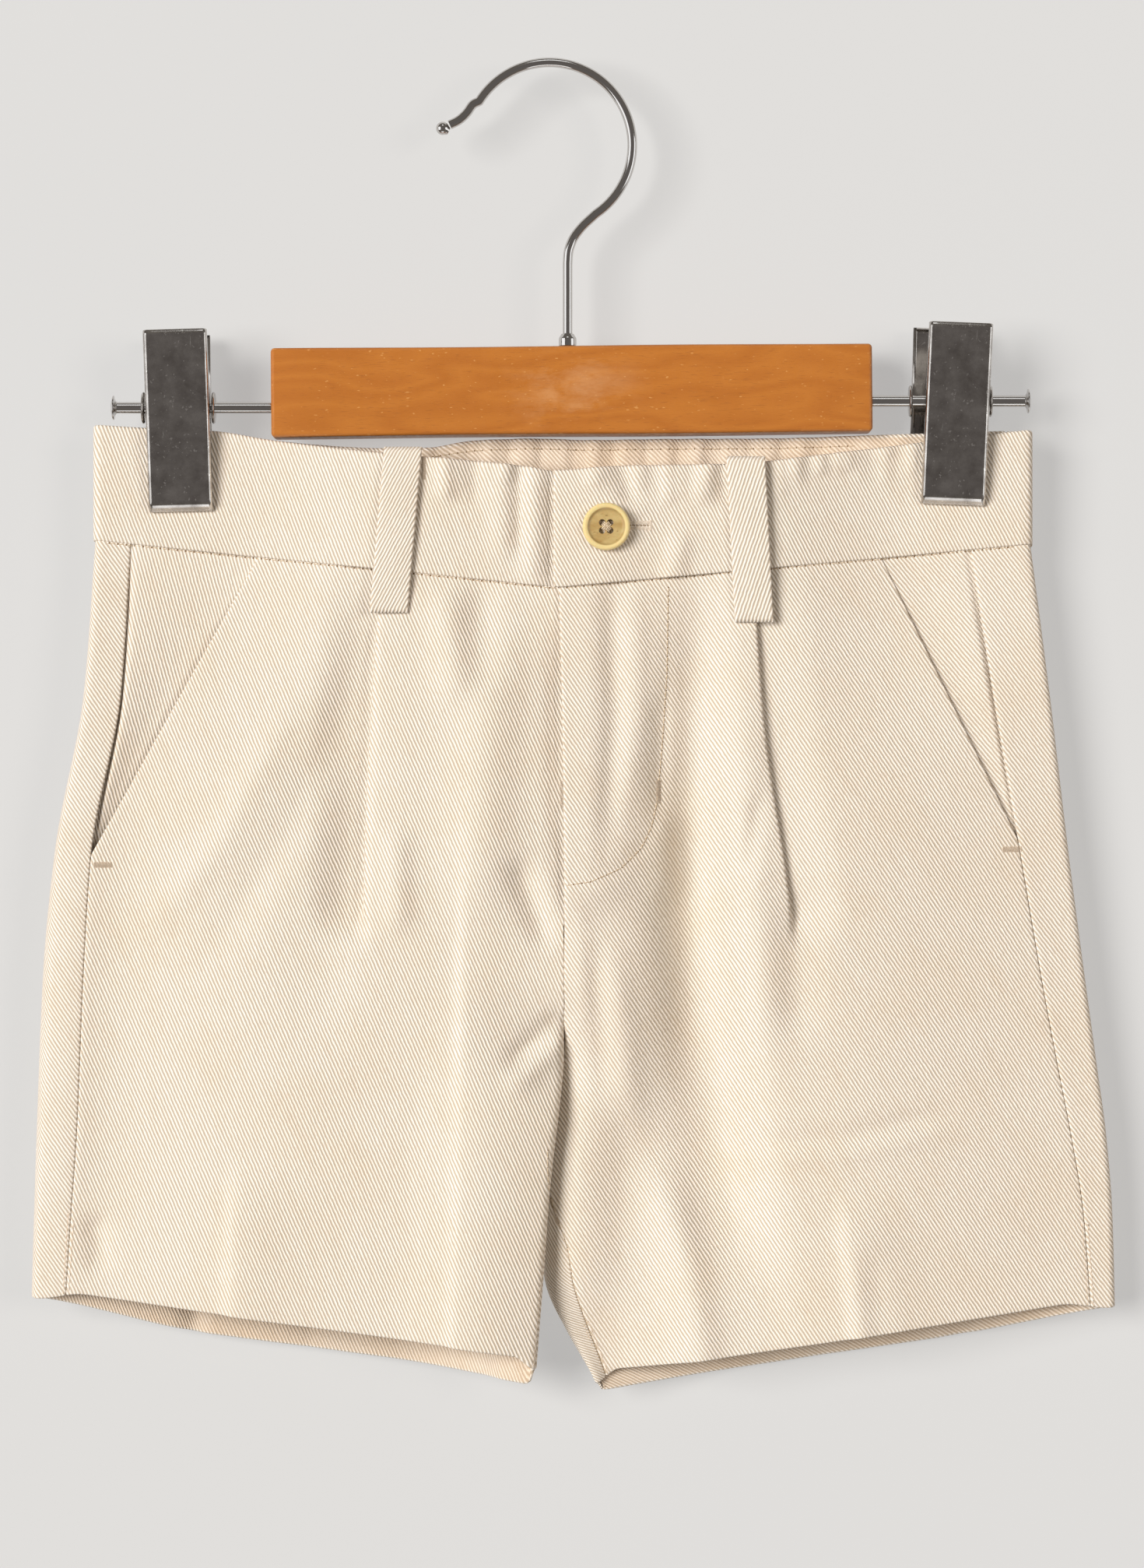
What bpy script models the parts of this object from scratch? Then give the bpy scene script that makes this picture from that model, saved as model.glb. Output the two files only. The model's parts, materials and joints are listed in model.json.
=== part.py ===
"""Child's pleated bermuda shorts, clipped by the waistband on a small wooden hanger.

Run with: blender --background --python part.py

Sizes are in millimetres. X runs to the viewer's right, Y away from the viewer and Z up, with
the origin where the hook rests on its rail. Right and left are the wearer's, so the right leg
is the one on the viewer's left.
"""

import functools
import math

import bmesh
import bpy
from mathutils import Matrix, Vector

MM = 0.001

# Cloth
WALL = 1.0
BAND_WALL = 1.6
LOOP_WALL = 1.2
GAP = 0.3
LAYER = WALL + GAP
BAND_LAYER = BAND_WALL + GAP
BAND_HEIGHT = 32.0

# Folds: the half distance between front and back at a pressed edge, and the edge's roundness
EDGE_HALF = 1.6
EDGE_ROUND = 1.6
# How far in from the outer fold and from a leg's inner edge the cloth stands at its full depth,
# and the level down to which the clips' flatness gives way to it
FILL_FROM_FOLD = 52.0
FILL_FROM_INNER = 40.0
FILL_LEVEL = 0.35
# The crotch's level, how high above it the legs begin to part, and the share of that parting
# over which their inner edges draw clear of each other
CROTCH = 0.574
CROTCH_CURVE = 0.10
PARTING = 0.06
# The left leg's inner edge lies behind the right one's by twice this, from soon below
# the crotch and within this reach of the edge
LEG_CROSS = 3.4
CROSS_LEVELS = 0.07
CROSS_REACH = 28.0
# How far in from the edges a hem rises or drops, and the level where the back's waist drop ends
RISE_FROM_FOLD = 15.0
RISE_FROM_INNER = 6.0
BACK_DROP_TO = 0.3

# Levels run from the waist seam, 0, to the hem, 1.
# Each row: level, outer fold x and z, side seam x, pleat edge x, inner edge x and z,
# and how far the inseam lies in front of the inner edge
LEG_COLUMNS = ("level", "fold_x", "fold_z", "seam_x", "pleat_x", "inner_x", "inner_z", "inseam")
RIGHT_LEG = (
    (0.00, -122.6, -128.5, -112.8, -44.9, 2.6, -141.5, 0.0),
    (0.20, -125.7, -169.1, -115.5, -47.9, 3.6, -183.3, 0.0),
    (0.41, -133.5, -211.7, -123.3, -49.5, 4.0, -227.0, 0.0),
    (0.574, -136.7, -244.9, -125.4, -49.7, 4.2, -261.4, 0.0),
    (0.78, -138.4, -286.6, -127.1, -50.0, 0.2, -304.3, 0.0),
    (1.00, -139.8, -332.5, -130.2, -50.0, -3.3, -353.3, 0.0),
)
LEFT_LEG = (
    (0.00, 129.9, -129.5, 113.2, 54.6, 2.6, -141.5, 0.0),
    (0.20, 135.2, -170.6, 120.0, 57.4, 3.6, -183.3, 0.0),
    (0.41, 140.3, -213.5, 127.3, 63.6, 4.0, -227.0, 0.0),
    (0.574, 144.7, -247.0, 133.0, 67.0, 4.4, -261.4, 0.0),
    (0.68, 147.7, -269.0, 137.0, 67.0, 0.6, -283.2, 1.0),
    (0.78, 150.4, -289.2, 140.8, 67.0, -2.4, -305.2, 3.5),
    (0.88, 152.0, -309.5, 144.0, 67.0, -1.6, -326.0, 7.0),
    (1.00, 152.7, -334.6, 146.0, 67.0, 13.5, -357.2, 4.0),
)
# Each row: level, half depth of the front and of the back, rise of the front and of the back
BODY_COLUMNS = ("level", "front", "back", "front_rise", "back_rise")
BODY = (
    (0.00, 8.0, 4.5, 0.0, 4.0),
    (0.20, 10.0, 9.0, 0.0, 3.0),
    (0.41, 11.0, 12.0, 0.0, 1.0),
    (0.574, 11.0, 11.0, 0.0, -1.0),
    (0.78, 10.0, 10.0, 1.5, -2.5),
    (1.00, 10.0, 9.0, 3.0, -4.0),
)
# Each row: x and z along an edge of the waistband
FRONT_TOP = (
    (-122.0, -96.8),
    (-109.0, -97.6),
    (-90.7, -98.4),
    (-74.8, -101.0),
    (-45.2, -104.7),
    (-5.8, -108.4),
    (0.9, -109.6),
    (20.0, -108.3),
    (48.0, -107.8),
    (82.6, -103.9),
    (111.9, -100.1),
    (129.0, -98.2),
)
BACK_TOP = (
    (-122.0, -96.8),
    (-75.0, -101.2),
    (-35.0, -102.6),
    (0.0, -102.0),
    (34.0, -101.9),
    (83.0, -100.2),
    (129.0, -98.2),
)

# Where the clips hold the band flat, and how soon it opens between them
FLAT_LEFT = -88.0
FLAT_RIGHT = 98.0
OPENING_OUT = 50.0

# Slant pockets: x of the mouth at the waist seam, and the level where it meets the side seam
MOUTHS = {"right": (-78.8, 0.41), "left": (89.8, 0.38)}

# Knife pleats
PLEAT_INTAKE = 8.0
PLEAT_BEND = LAYER / 2
PLEAT_FOLDED_TO = 0.40
PLEAT_FLAT_AT = 0.50
PLEAT_RAMP = 16.0
PLEAT_STEPS = 3

# How finely a level's line is followed: degrees of a fold's round, and steps between folds
LINE_TURN = 15
LINE_STEPS = 60
# How the panels are divided: levels of the rows, and columns along a row
FRONT_LEVELS = (
    0.0, 0.04, 0.10, 0.17, 0.24, 0.31, 0.35, 0.38, 0.41, 0.435, 0.46, 0.48,
    0.50, 0.54, 0.574, 0.61, 0.66, 0.72, 0.78, 0.85, 0.92, 1.0,
)
BACK_LEVELS = (
    0.0, 0.04, 0.10, 0.17, 0.25, 0.33, 0.41, 0.47, 0.51, 0.545,
    0.574, 0.61, 0.66, 0.72, 0.78, 0.85, 0.92, 1.0,
)
FRONT_OUTER_SHARES = (0.0, 0.3, 0.6, 0.8, 0.92)
FRONT_INNER_SHARES = (0.12, 0.35, 0.58, 0.78, 0.92)
INNER_OFFSETS = (7.0, 4.0, 2.2, 1.1, 0.4, 0.0)
OUTER_OFFSETS = (-2.4, -1.2, 0.0, 1.2, 2.4, 5.0)
BACK_SEAM_SHARES = (0.0, 0.45)
BACK_SIDE_SHARES = (0.4, 0.75)
BACK_INNER_OFFSETS = (6.5, 4.5, 2.6, 1.4, 0.5, 0.0)

# Fly: the left front laps over the right one down to these levels
FLY_UNDERLAP = 5.0
FLY_UNDERLAP_EASE = 0.6
FLY_UNDERLAP_FROM = 0.33
FLY_UNDERLAP_TO = 0.38
FLY_FLAT_FROM = 0.385
FLY_FLAT_TO = 0.44
FLY_RAISED = 6.5
FLY_BLEND = 14.0

# Waistband: where the left end of the front stops, and how the ends lap
TAB_EDGE = 1.4
BAND_UNDERLAP = 8.0
TAB_RAISED = 10.0
TAB_BLEND = 20.0
# Where the front band joins the back one, round the fold on the back, and its columns there
BAND_JOIN = 7.0
BAND_TURN = (BAND_JOIN, 4.5, 2.4, 1.2, 0.0, -1.2, -2.4)
BAND_FROM_FOLD = 6.0
BAND_STEPS = 14
GATHERS = 20
GATHER_DEPTH = 0.7
GATHER_FADE = 0.14

# Belt loops: name, x of the top and of the bottom, z of both, width, and front -1 or back 1
LOOPS = (
    ("belt_loop_front_right", -39.2, -43.1, -103.4, -147.9, 9.8, -1),
    ("belt_loop_front_left", 52.7, 55.0, -106.0, -150.4, 10.0, -1),
    ("belt_loop_back_right", -48.0, -48.0, -101.0, -143.5, 9.8, 1),
    ("belt_loop_back_left", 54.0, 54.0, -100.0, -142.5, 9.8, 1),
)
LOOP_STAND = 1.3
LOOP_BOW = 0.7
LOOP_ROWS = 8
LOOP_ACROSS = (-0.5, 0.0, 0.5)
HALVINGS = 12
BAND_HEIGHTS = (0.0, 0.34, 0.67, 1.0)

# Pocket facings: their rows, and their columns from the side seam to the mouth
FACING_LEVELS = {
    "right": (0.0, 0.08, 0.17, 0.25, 0.33, 0.385),
    "left": (0.0, 0.08, 0.16, 0.24, 0.31, 0.355),
}
FACING_SHARES = (0.0, 0.28, 0.55, 0.8)
FACING_HIDDEN = 9.0
FACING_HIDDEN_SHARES = (0.3, 1.0)
FACING_RAMP = 13.0

# Button: its place, its half section as radius and height, and its holes
BUTTON_X = 15.3
BUTTON_Z = -124.9
BUTTON_SECTION = (
    (0.0, 0.0),
    (5.2, 0.0),
    (6.4, 0.9),
    (6.4, 1.8),
    (5.9, 2.4),
    (5.1, 2.3),
    (4.4, 1.7),
    (0.0, 1.7),
)
BUTTON_STEPS = 24
HOLE_RADIUS = 0.7
HOLE_OFFSET = 1.25
HOLE_STEPS = 8
HOLE_DEGREES = (45, 135, 225, 315)
# The heights between which a hole's cutter runs
HOLE_CUT = (-1.0, 3.4)

# Hanger
BAR_LENGTH = 162.0
BAR_HEIGHT = 23.8
BAR_DEPTH = 12.0
BAR_X = 6.0
BAR_Z = -87.7
BAR_TILT = math.radians(0.5)
BAR_EDGE = 0.9
ROD_RADIUS = 1.55
ROD_ENDS = (-118.6, 130.2)
ROD_DROP = -3.5
ROD_STEPS = 12
HEAD_RADIUS = 3.1
HEAD_THICK = 1.1
HEAD_EASE = (0.9, 0.4)
# Hook: wire radius, the bend's radius and the degrees it runs between, then x and z of the
# wire from the tip to the bend and from the bend down to the collar
HOOK_WIRE = 1.3
HOOK_ARC = 22.4
HOOK_DEGREES = (148.0, -56.0)
HOOK_STEPS = 18
HOOK_TIP = ((-27.0, -15.6), (-24.6, -14.4), (-22.4, -12.4), (-20.6, -10.0))
HOOK_SHAFT = ((8.6, -43.4), (6.2, -46.8), (5.1, -50.2), (4.9, -53.0))
HOOK_TIP_RADIUS = 1.8
COLLAR_RADIUS = 2.4
COLLAR_HEIGHT = 3.4
COLLAR_EASE = (0.8, 1.2)
COLLAR_STEPS = 16

# Clips: name, middle x, degrees from upright, and how far the rear jaw stands to the
# viewer's left
CLIPS = (
    ("right", -100.1, 1.5, 0.4),
    ("left", 109.9, -2.2, 3.0),
)
CLIP_WIDTH = 16.4
CLIP_SHEET = 0.8
CLIP_CORNER = 0.8
# Each row: height above the rod, the plate's depth, and how far its sides turn back
CLIP_PROFILE = (
    (20.2, -9.4, 1.6),
    (10.0, -8.3, 3.2),
    (3.0, -7.5, 5.2),
    (0.0, -7.2, 5.35),
    (-3.5, -6.9, 4.0),
    (-6.0, -6.7, 3.0),
    (-14.0, -6.1, 2.4),
    (-22.0, -5.5, 1.8),
    (-26.0, -5.0, 1.2),
    (-28.0, -3.15, 0.25),
)
SPRING_RADIUS = 3.1
SPRING_STEPS = 12
EAR_RADIUS = 4.3
EAR_THICK = 0.8
EAR_STEPS = 16

PALE_TWILL = (0.79, 0.66, 0.50)
TWILL_ROUGHNESS = 0.9
HORN = (0.55, 0.38, 0.14)
HORN_ROUGHNESS = 0.35
HONEY_WOOD = (0.52, 0.23, 0.06)
WOOD_ROUGHNESS = 0.4
CHROME = (0.62, 0.60, 0.58)
CHROME_ROUGHNESS = 0.2


def smooth(value):
    """0 to 1 with level ends, as value runs from 0 to 1."""
    value = min(1.0, max(0.0, value))
    return value * value * (3.0 - 2.0 * value)


def mix(start, end, share):
    return start + (end - start) * share


def along(rows, position, column):
    """A column of a table, read between its rows on a curve with no overshoot."""
    if position <= rows[0][0]:
        return rows[0][column]
    if position >= rows[-1][0]:
        return rows[-1][column]
    index = max(i for i, row in enumerate(rows[:-1]) if row[0] <= position)

    def slope(i):
        if i == 0 or i == len(rows) - 1:
            near = (rows[0], rows[1]) if i == 0 else (rows[-2], rows[-1])
            return (near[1][column] - near[0][column]) / (near[1][0] - near[0][0])
        before = (rows[i][column] - rows[i - 1][column]) / (rows[i][0] - rows[i - 1][0])
        after = (rows[i + 1][column] - rows[i][column]) / (rows[i + 1][0] - rows[i][0])
        return 0.0 if before * after <= 0 else 2 * before * after / (before + after)

    low, high = rows[index], rows[index + 1]
    run = high[0] - low[0]
    t = (position - low[0]) / run
    return (
        (1 + 2 * t) * (1 - t) ** 2 * low[column]
        + t * (1 - t) ** 2 * run * slope(index)
        + t * t * (3 - 2 * t) * high[column]
        - t * t * (1 - t) * run * slope(index + 1)
    )


def leg_value(rows, name, level):
    return along(rows, level, LEG_COLUMNS.index(name))


def body_value(name, level):
    return along(BODY, level, BODY_COLUMNS.index(name))


def between_clips(x):
    """0 where the clips hold front and back together, 1 in the open middle of the waist."""
    return smooth((x - FLAT_LEFT) / OPENING_OUT) * smooth((FLAT_RIGHT - x) / OPENING_OUT)


def edge_cap(distance):
    """The round of a fold, 0 at its tip and 1 where the wall runs flat."""
    if distance >= EDGE_ROUND:
        return 1.0
    return math.sqrt(max(0.0, 1.0 - (1.0 - max(distance, 0.0) / EDGE_ROUND) ** 2))


def openness(level):
    """1 where the two legs are one body, 0 from the crotch down."""
    return math.sqrt(min(1.0, max(0.0, (CROTCH - level) / CROTCH_CURVE)))


def wall_point(rows, face, share, level):
    """A point of the cloth's middle surface.

    face is -1 on the front and 1 on the back; share runs from the outer fold to the inner edge.
    """
    side = math.copysign(1.0, leg_value(rows, "fold_x", level))
    opened = openness(level)
    inner_gap = GAP / 2 + WALL / 2 * min(1.0, (1.0 - opened) / PARTING)
    fold_x = leg_value(rows, "fold_x", level)
    inner_x = leg_value(rows, "inner_x", level) + side * inner_gap
    x = mix(fold_x, inner_x, share)
    z = mix(leg_value(rows, "fold_z", level), leg_value(rows, "inner_z", level), share)
    from_fold = abs(x - fold_x)
    from_inner = max(0.0, (x - inner_x) * side)

    waist_x = mix(leg_value(rows, "fold_x", 0.0), leg_value(rows, "inner_x", 0.0), share)
    spread = mix(
        between_clips(waist_x),
        math.sin(math.pi / 2 * min(1.0, from_fold / FILL_FROM_FOLD)),
        smooth(level / FILL_LEVEL),
    )
    closing = math.sin(math.pi / 2 * min(1.0, from_inner / FILL_FROM_INNER))
    spread *= opened + (1.0 - opened) * closing
    depth = body_value("front" if face < 0 else "back", level)
    half = EDGE_HALF + (depth - EDGE_HALF) * spread
    half *= edge_cap(from_fold) * (opened + (1.0 - opened) * edge_cap(from_inner))
    y = face * max(half, GAP / 2)
    crossing = smooth((level - CROTCH) / CROSS_LEVELS) * (1.0 - smooth(from_inner / CROSS_REACH))
    y += side * LEG_CROSS * crossing

    inner_reach = opened + (1.0 - opened) * smooth(from_inner / RISE_FROM_INNER)
    reach = smooth(from_fold / RISE_FROM_FOLD) * inner_reach
    rise = body_value("front_rise" if face < 0 else "back_rise", level) * reach
    if face > 0:
        waist_z = mix(leg_value(rows, "fold_z", 0.0), leg_value(rows, "inner_z", 0.0), share)
        at_waist = along(BACK_TOP, waist_x, 1) - BAND_HEIGHT - waist_z
        rise = mix(at_waist, rise, smooth(level / BACK_DROP_TO))
        y += gather(waist_x, level)
    return Vector((x, y, z + rise))


def gather(x, level):
    """The elastic's gathers across the back, dying away below the waist seam."""
    width = FLAT_RIGHT - FLAT_LEFT
    wave = math.sin(2 * math.pi * GATHERS * (x - FLAT_LEFT) / width)
    return GATHER_DEPTH * wave * between_clips(x) * (1.0 - smooth(level / GATHER_FADE))


def share_at(rows, x, level):
    """The share of the way from the outer fold to the inner edge that has this x."""
    fold_x = leg_value(rows, "fold_x", level)
    return (x - fold_x) / (leg_value(rows, "inner_x", level) - fold_x)


@functools.lru_cache(maxsize=None)
def wall_line(rows, face, level):
    """The middle line of one face at one level, from the outer fold to the inner edge."""
    width = abs(leg_value(rows, "inner_x", level) - leg_value(rows, "fold_x", level))
    turns = [math.radians(degrees) for degrees in range(0, 90, LINE_TURN)]
    bends = [EDGE_ROUND * (1.0 - math.cos(turn)) / width for turn in turns]
    low = EDGE_ROUND / width
    shares = bends + [mix(low, 1.0 - low, i / LINE_STEPS) for i in range(LINE_STEPS + 1)]
    shares += [1.0 - share for share in reversed(bends)]
    return [wall_point(rows, face, share, level) for share in shares]


def walked(points, distance):
    """The point this far along a line of points, and whatever distance is left over."""
    for start, end in zip(points, points[1:]):
        length = (end - start).length
        if distance <= length:
            return start.lerp(end, distance / length if length else 0.0)
        distance -= length
    return points[-1]


def round_edge(rows, face, edge, distance, level):
    """A point this far round from a fold's tip on one face, or past it if below 0."""
    ends = [wall_line(rows, side, level) for side in (face, -face)]
    near, far = (line[::-1] if edge == "inner" else line for line in ends)
    if distance >= 0:
        return walked(near, distance)
    return walked([near[0], *far], -distance)


def fly_lift(side_name, rows, x, level):
    """How far the left front stands forward where it laps over the right one."""
    if side_name == "right":
        return 0.0
    from_fly = abs(x - leg_value(rows, "inner_x", level))
    fading = smooth((level - FLY_FLAT_FROM) / (FLY_FLAT_TO - FLY_FLAT_FROM))
    return LAYER * (1.0 - smooth((from_fly - FLY_RAISED) / FLY_BLEND)) * (1.0 - fading)


def front_base(rows, side_name, x, level):
    point = wall_point(rows, -1, share_at(rows, x, level), level)
    point.y -= fly_lift(side_name, rows, x, level)
    return point


def pleat_profile(intake, turn):
    """The pleat seen from below: its steps in x and y from the first point of its fold."""
    points = [Vector((0.0, 0.0))]
    for bend in ("under", "over"):
        for step in range(PLEAT_STEPS):
            share = (step + 0.5) / PLEAT_STEPS
            angle = turn * (share if bend == "under" else 1.0 - share)
            length = PLEAT_BEND * math.pi / PLEAT_STEPS
            points.append(points[-1] + length * Vector((math.cos(angle), -math.sin(angle))))
        if bend == "under":
            points.append(points[-1] + intake * Vector((math.cos(turn), -math.sin(turn))))
    return points


def outer_start(rows, side_name, level):
    """Where a front panel starts: on the pocket mouth, and below it on the side seam."""
    side = math.copysign(1.0, leg_value(rows, "fold_x", level))
    mouth_x, mouth_end = MOUTHS[side_name]
    if level >= mouth_end:
        return leg_value(rows, "seam_x", level) - side * GAP / 2
    end_x = leg_value(rows, "seam_x", mouth_end) - side * GAP / 2
    return mix(mouth_x, end_x, level / mouth_end)


def front_row(rows, side_name, level):
    """One row of a front panel, from the pocket mouth or side seam to the fly or inseam."""
    side = math.copysign(1.0, leg_value(rows, "fold_x", level))
    folded = max(0.0, 1.0 - level / PLEAT_FOLDED_TO)
    fading = smooth((level - PLEAT_FOLDED_TO) / (PLEAT_FLAT_AT - PLEAT_FOLDED_TO))
    profile = pleat_profile(PLEAT_INTAKE * folded, math.pi * (1.0 - fading))
    sunk = -profile[-1].y
    edge = min(point.x for point in profile[PLEAT_STEPS + 1 :])
    pleat_x = leg_value(rows, "pleat_x", level)
    first_x = pleat_x + side * edge

    row = []
    start_x = outer_start(rows, side_name, level)
    for share in FRONT_OUTER_SHARES:
        x = mix(start_x, first_x, share)
        point = front_base(rows, side_name, x, level)
        beside = max(0.0, (x - pleat_x) * side)
        point.y += sunk * (1.0 - smooth(beside / PLEAT_RAMP))
        row.append(point)
    for step in profile:
        point = front_base(rows, side_name, first_x - side * step.x, level)
        point.y += sunk + step.y
        row.append(point)
    pleat_end = row[-1]

    inseam = leg_value(rows, "inseam", level)
    last = []
    for offset in INNER_OFFSETS:
        point = round_edge(rows, -1, "inner", inseam + offset, level)
        point.y -= fly_lift(side_name, rows, point.x, level)
        last.append(point)
    if side_name == "right":
        fading = (level - FLY_UNDERLAP_FROM) / (FLY_UNDERLAP_TO - FLY_UNDERLAP_FROM)
        for point, offset in zip(last, INNER_OFFSETS):
            reach = 1.0 - FLY_UNDERLAP_EASE * offset / INNER_OFFSETS[0]
            point.x += FLY_UNDERLAP * reach * (1.0 - smooth(fading))
    for share in FRONT_INNER_SHARES:
        x = mix(pleat_end.x, last[0].x, share)
        row.append(front_base(rows, side_name, x, level))
    return row + last


def gather_crests():
    """The places across the back where a gather is highest or lowest."""
    step = (FLAT_RIGHT - FLAT_LEFT) / (2 * GATHERS)
    return [FLAT_LEFT + (i + 0.5) * step for i in range(2 * GATHERS)]


def back_row(rows, side_name, level):
    """One row of a back panel, from the side seam round the outer fold to the inseam."""
    side = math.copysign(1.0, leg_value(rows, "fold_x", level))
    seam_x = leg_value(rows, "seam_x", level) + side * GAP / 2
    fold_x = leg_value(rows, "fold_x", level)
    columns = [mix(seam_x, fold_x, share) for share in BACK_SEAM_SHARES]
    row = [front_base(rows, side_name, x, level) for x in columns]
    row += [round_edge(rows, 1, "outer", distance, level) for distance in OUTER_OFFSETS]

    waist_inner = leg_value(rows, "inner_x", 0.0)
    waist_fold = leg_value(rows, "fold_x", 0.0)
    flat_x = FLAT_RIGHT if side > 0 else FLAT_LEFT
    columns = [mix(waist_fold, flat_x, share) for share in BACK_SIDE_SHARES]
    columns += [x for x in gather_crests() if (x - waist_inner) * side > INNER_OFFSETS[0]]
    for x in sorted(columns, key=lambda x: -side * x):
        row.append(wall_point(rows, 1, share_at(rows, x, 0.0), level))

    inseam = leg_value(rows, "inseam", level)
    reach = BACK_INNER_OFFSETS[0]
    for offset in BACK_INNER_OFFSETS:
        distance = mix(-inseam, reach, offset / reach)
        row.append(round_edge(rows, 1, "inner", distance, level))
    return row


def facing_row(rows, side_name, level):
    """One row of a pocket's facing, from the side seam to under the front panel."""
    side = math.copysign(1.0, leg_value(rows, "fold_x", level))
    seam_x = leg_value(rows, "seam_x", level) - side * GAP
    mouth_x = outer_start(rows, side_name, level)
    shown = abs(mouth_x - seam_x)
    at_seam = LAYER * (1.0 - min(1.0, shown / FACING_RAMP))
    columns = [mix(seam_x, mouth_x, share) for share in FACING_SHARES]
    columns += [mouth_x - side * FACING_HIDDEN * share for share in FACING_HIDDEN_SHARES]
    row = []
    for x in columns:
        point = front_base(rows, side_name, x, level)
        point.y += mix(at_seam, LAYER, smooth(abs(x - seam_x) / (FACING_SHARES[-1] * shown)))
        row.append(point)
    return row


def band_point(x, face, height):
    """A point of the waistband's middle surface; height runs from its seam to its top."""
    rows = RIGHT_LEG if x < leg_value(RIGHT_LEG, "inner_x", 0.0) else LEFT_LEG
    point = wall_point(rows, face, share_at(rows, x, 0.0), 0.0)
    return band_height(point, face, height)


def band_height(seam, face, height):
    top = along(FRONT_TOP if face < 0 else BACK_TOP, seam.x, 1)
    return Vector((seam.x, seam.y, mix(seam.z + GAP, top, height)))


def tab_lift(x):
    """How far the left end of the band stands forward where it laps over the right end."""
    return BAND_LAYER * (1.0 - smooth((x - TAB_EDGE - TAB_RAISED) / TAB_BLEND))


def front_band_rows(side_name):
    """The rows of a front band, from its join on the back round the fold to the front."""
    if side_name == "right":
        rows, side, end_x = RIGHT_LEG, -1.0, TAB_EDGE + BAND_UNDERLAP
    else:
        rows, side, end_x = LEFT_LEG, 1.0, TAB_EDGE
    start_x = leg_value(rows, "fold_x", 0.0) - side * BAND_FROM_FOLD
    columns = [mix(start_x, end_x, i / BAND_STEPS) for i in range(BAND_STEPS + 1)]
    result = []
    for height in BAND_HEIGHTS:
        row = []
        for distance in BAND_TURN:
            seam = round_edge(rows, 1, "outer", distance, 0.0)
            row.append(band_height(seam, 1 if distance > 0 else -1, height))
        for x in columns:
            point = band_point(x, -1, height)
            if side_name == "left":
                point.y -= tab_lift(x)
            row.append(point)
        result.append(row)
    return result


def back_band_rows():
    right = round_edge(RIGHT_LEG, 1, "outer", BAND_JOIN + GAP, 0.0).x
    left = round_edge(LEFT_LEG, 1, "outer", BAND_JOIN + GAP, 0.0).x
    columns = [right, mix(right, FLAT_LEFT, 0.5)] + gather_crests()
    columns += [mix(FLAT_RIGHT, left, 0.5), left]
    return [[band_point(x, 1, height) for x in columns] for height in BAND_HEIGHTS]


def level_at(rows, face, x, z):
    """The level at which a face of the cloth has this height, found by halving."""
    low, high = 0.0, CROTCH
    for _ in range(HALVINGS):
        level = (low + high) / 2
        if wall_point(rows, face, share_at(rows, x, level), level).z > z:
            low = level
        else:
            high = level
    return low


def outer_surface(x, z, face):
    """How far out the cloth's outside lies under a belt loop."""
    rows = RIGHT_LEG if x < 0 else LEFT_LEG
    out = face * band_point(x, face, 0.0).y + BAND_WALL / 2
    if z < band_point(x, face, 0.0).z:
        level = level_at(rows, face, x, z)
        panel = wall_point(rows, face, share_at(rows, x, level), level)
        out = max(out, face * panel.y + WALL / 2)
    return face * (out + (GATHER_DEPTH if face > 0 else 0.0))


def loop_rows(top_x, bottom_x, top_z, bottom_z, width, face):
    result = []
    for i in range(LOOP_ROWS):
        share = i / (LOOP_ROWS - 1)
        z = mix(top_z, bottom_z, share)
        stand = GAP + LOOP_WALL / 2 + LOOP_STAND * math.sin(math.pi * share) ** LOOP_BOW
        row = []
        for across in LOOP_ACROSS:
            x = mix(top_x, bottom_x, share) + across * width
            row.append(Vector((x, outer_surface(x, z, face) + face * stand, z)))
        result.append(row)
    return result


def clip_rows():
    """The rows of a front jaw about its rod: a plate whose sides turn back towards the rod."""
    result = []
    for z, y, side_depth in CLIP_PROFILE:
        corner = min(CLIP_CORNER, side_depth)
        half = CLIP_WIDTH / 2
        row = [
            (-half, y + side_depth),
            (-half, y + corner),
            (-half + CLIP_CORNER, y),
            (0.0, y),
            (half - CLIP_CORNER, y),
            (half, y + corner),
            (half, y + side_depth),
        ]
        result.append([Vector((x, depth, z)) for x, depth in row])
    return result


def material(name, colour, roughness, metallic=0.0):
    made = bpy.data.materials.new(name)
    made.use_nodes = True
    surface = made.node_tree.nodes["Principled BSDF"]
    surface.inputs["Base Color"].default_value = (*colour, 1.0)
    surface.inputs["Roughness"].default_value = roughness
    surface.inputs["Metallic"].default_value = metallic
    made.diffuse_color = (*colour, 1.0)
    return made


def place(obj, parts, seat, surface):
    parts.objects.link(obj)
    obj.data.materials.append(surface)
    obj.parent = seat
    return obj


def cloth(name, rows, wall, parts, seat, surface):
    """An open surface through rows of points, given its wall by Solidify."""
    mesh = bpy.data.meshes.new(name)
    width = len(rows[0])
    faces = [
        (i * width + j, i * width + j + 1, (i + 1) * width + j + 1, (i + 1) * width + j)
        for i in range(len(rows) - 1)
        for j in range(width - 1)
    ]
    mesh.from_pydata([point * MM for row in rows for point in row], [], faces)
    obj = place(bpy.data.objects.new(name, mesh), parts, seat, surface)
    shell = obj.modifiers.new("Wall", "SOLIDIFY")
    shell.thickness = wall * MM
    shell.offset = 0.0
    return obj


def turned(name, profile, steps, parts, seat, surface):
    """A profile of (radius, height) turned about the object's Z axis."""
    mesh = bpy.data.meshes.new(name)
    points = [(radius * MM, 0.0, height * MM) for radius, height in reversed(profile)]
    mesh.from_pydata(points, [(i, i + 1) for i in range(len(points) - 1)], [])
    obj = place(bpy.data.objects.new(name, mesh), parts, seat, surface)
    screw = obj.modifiers.new("Turn", "SCREW")
    screw.steps = steps
    screw.render_steps = steps
    screw.use_merge_vertices = True
    screw.merge_threshold = 0.00001
    return obj


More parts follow.
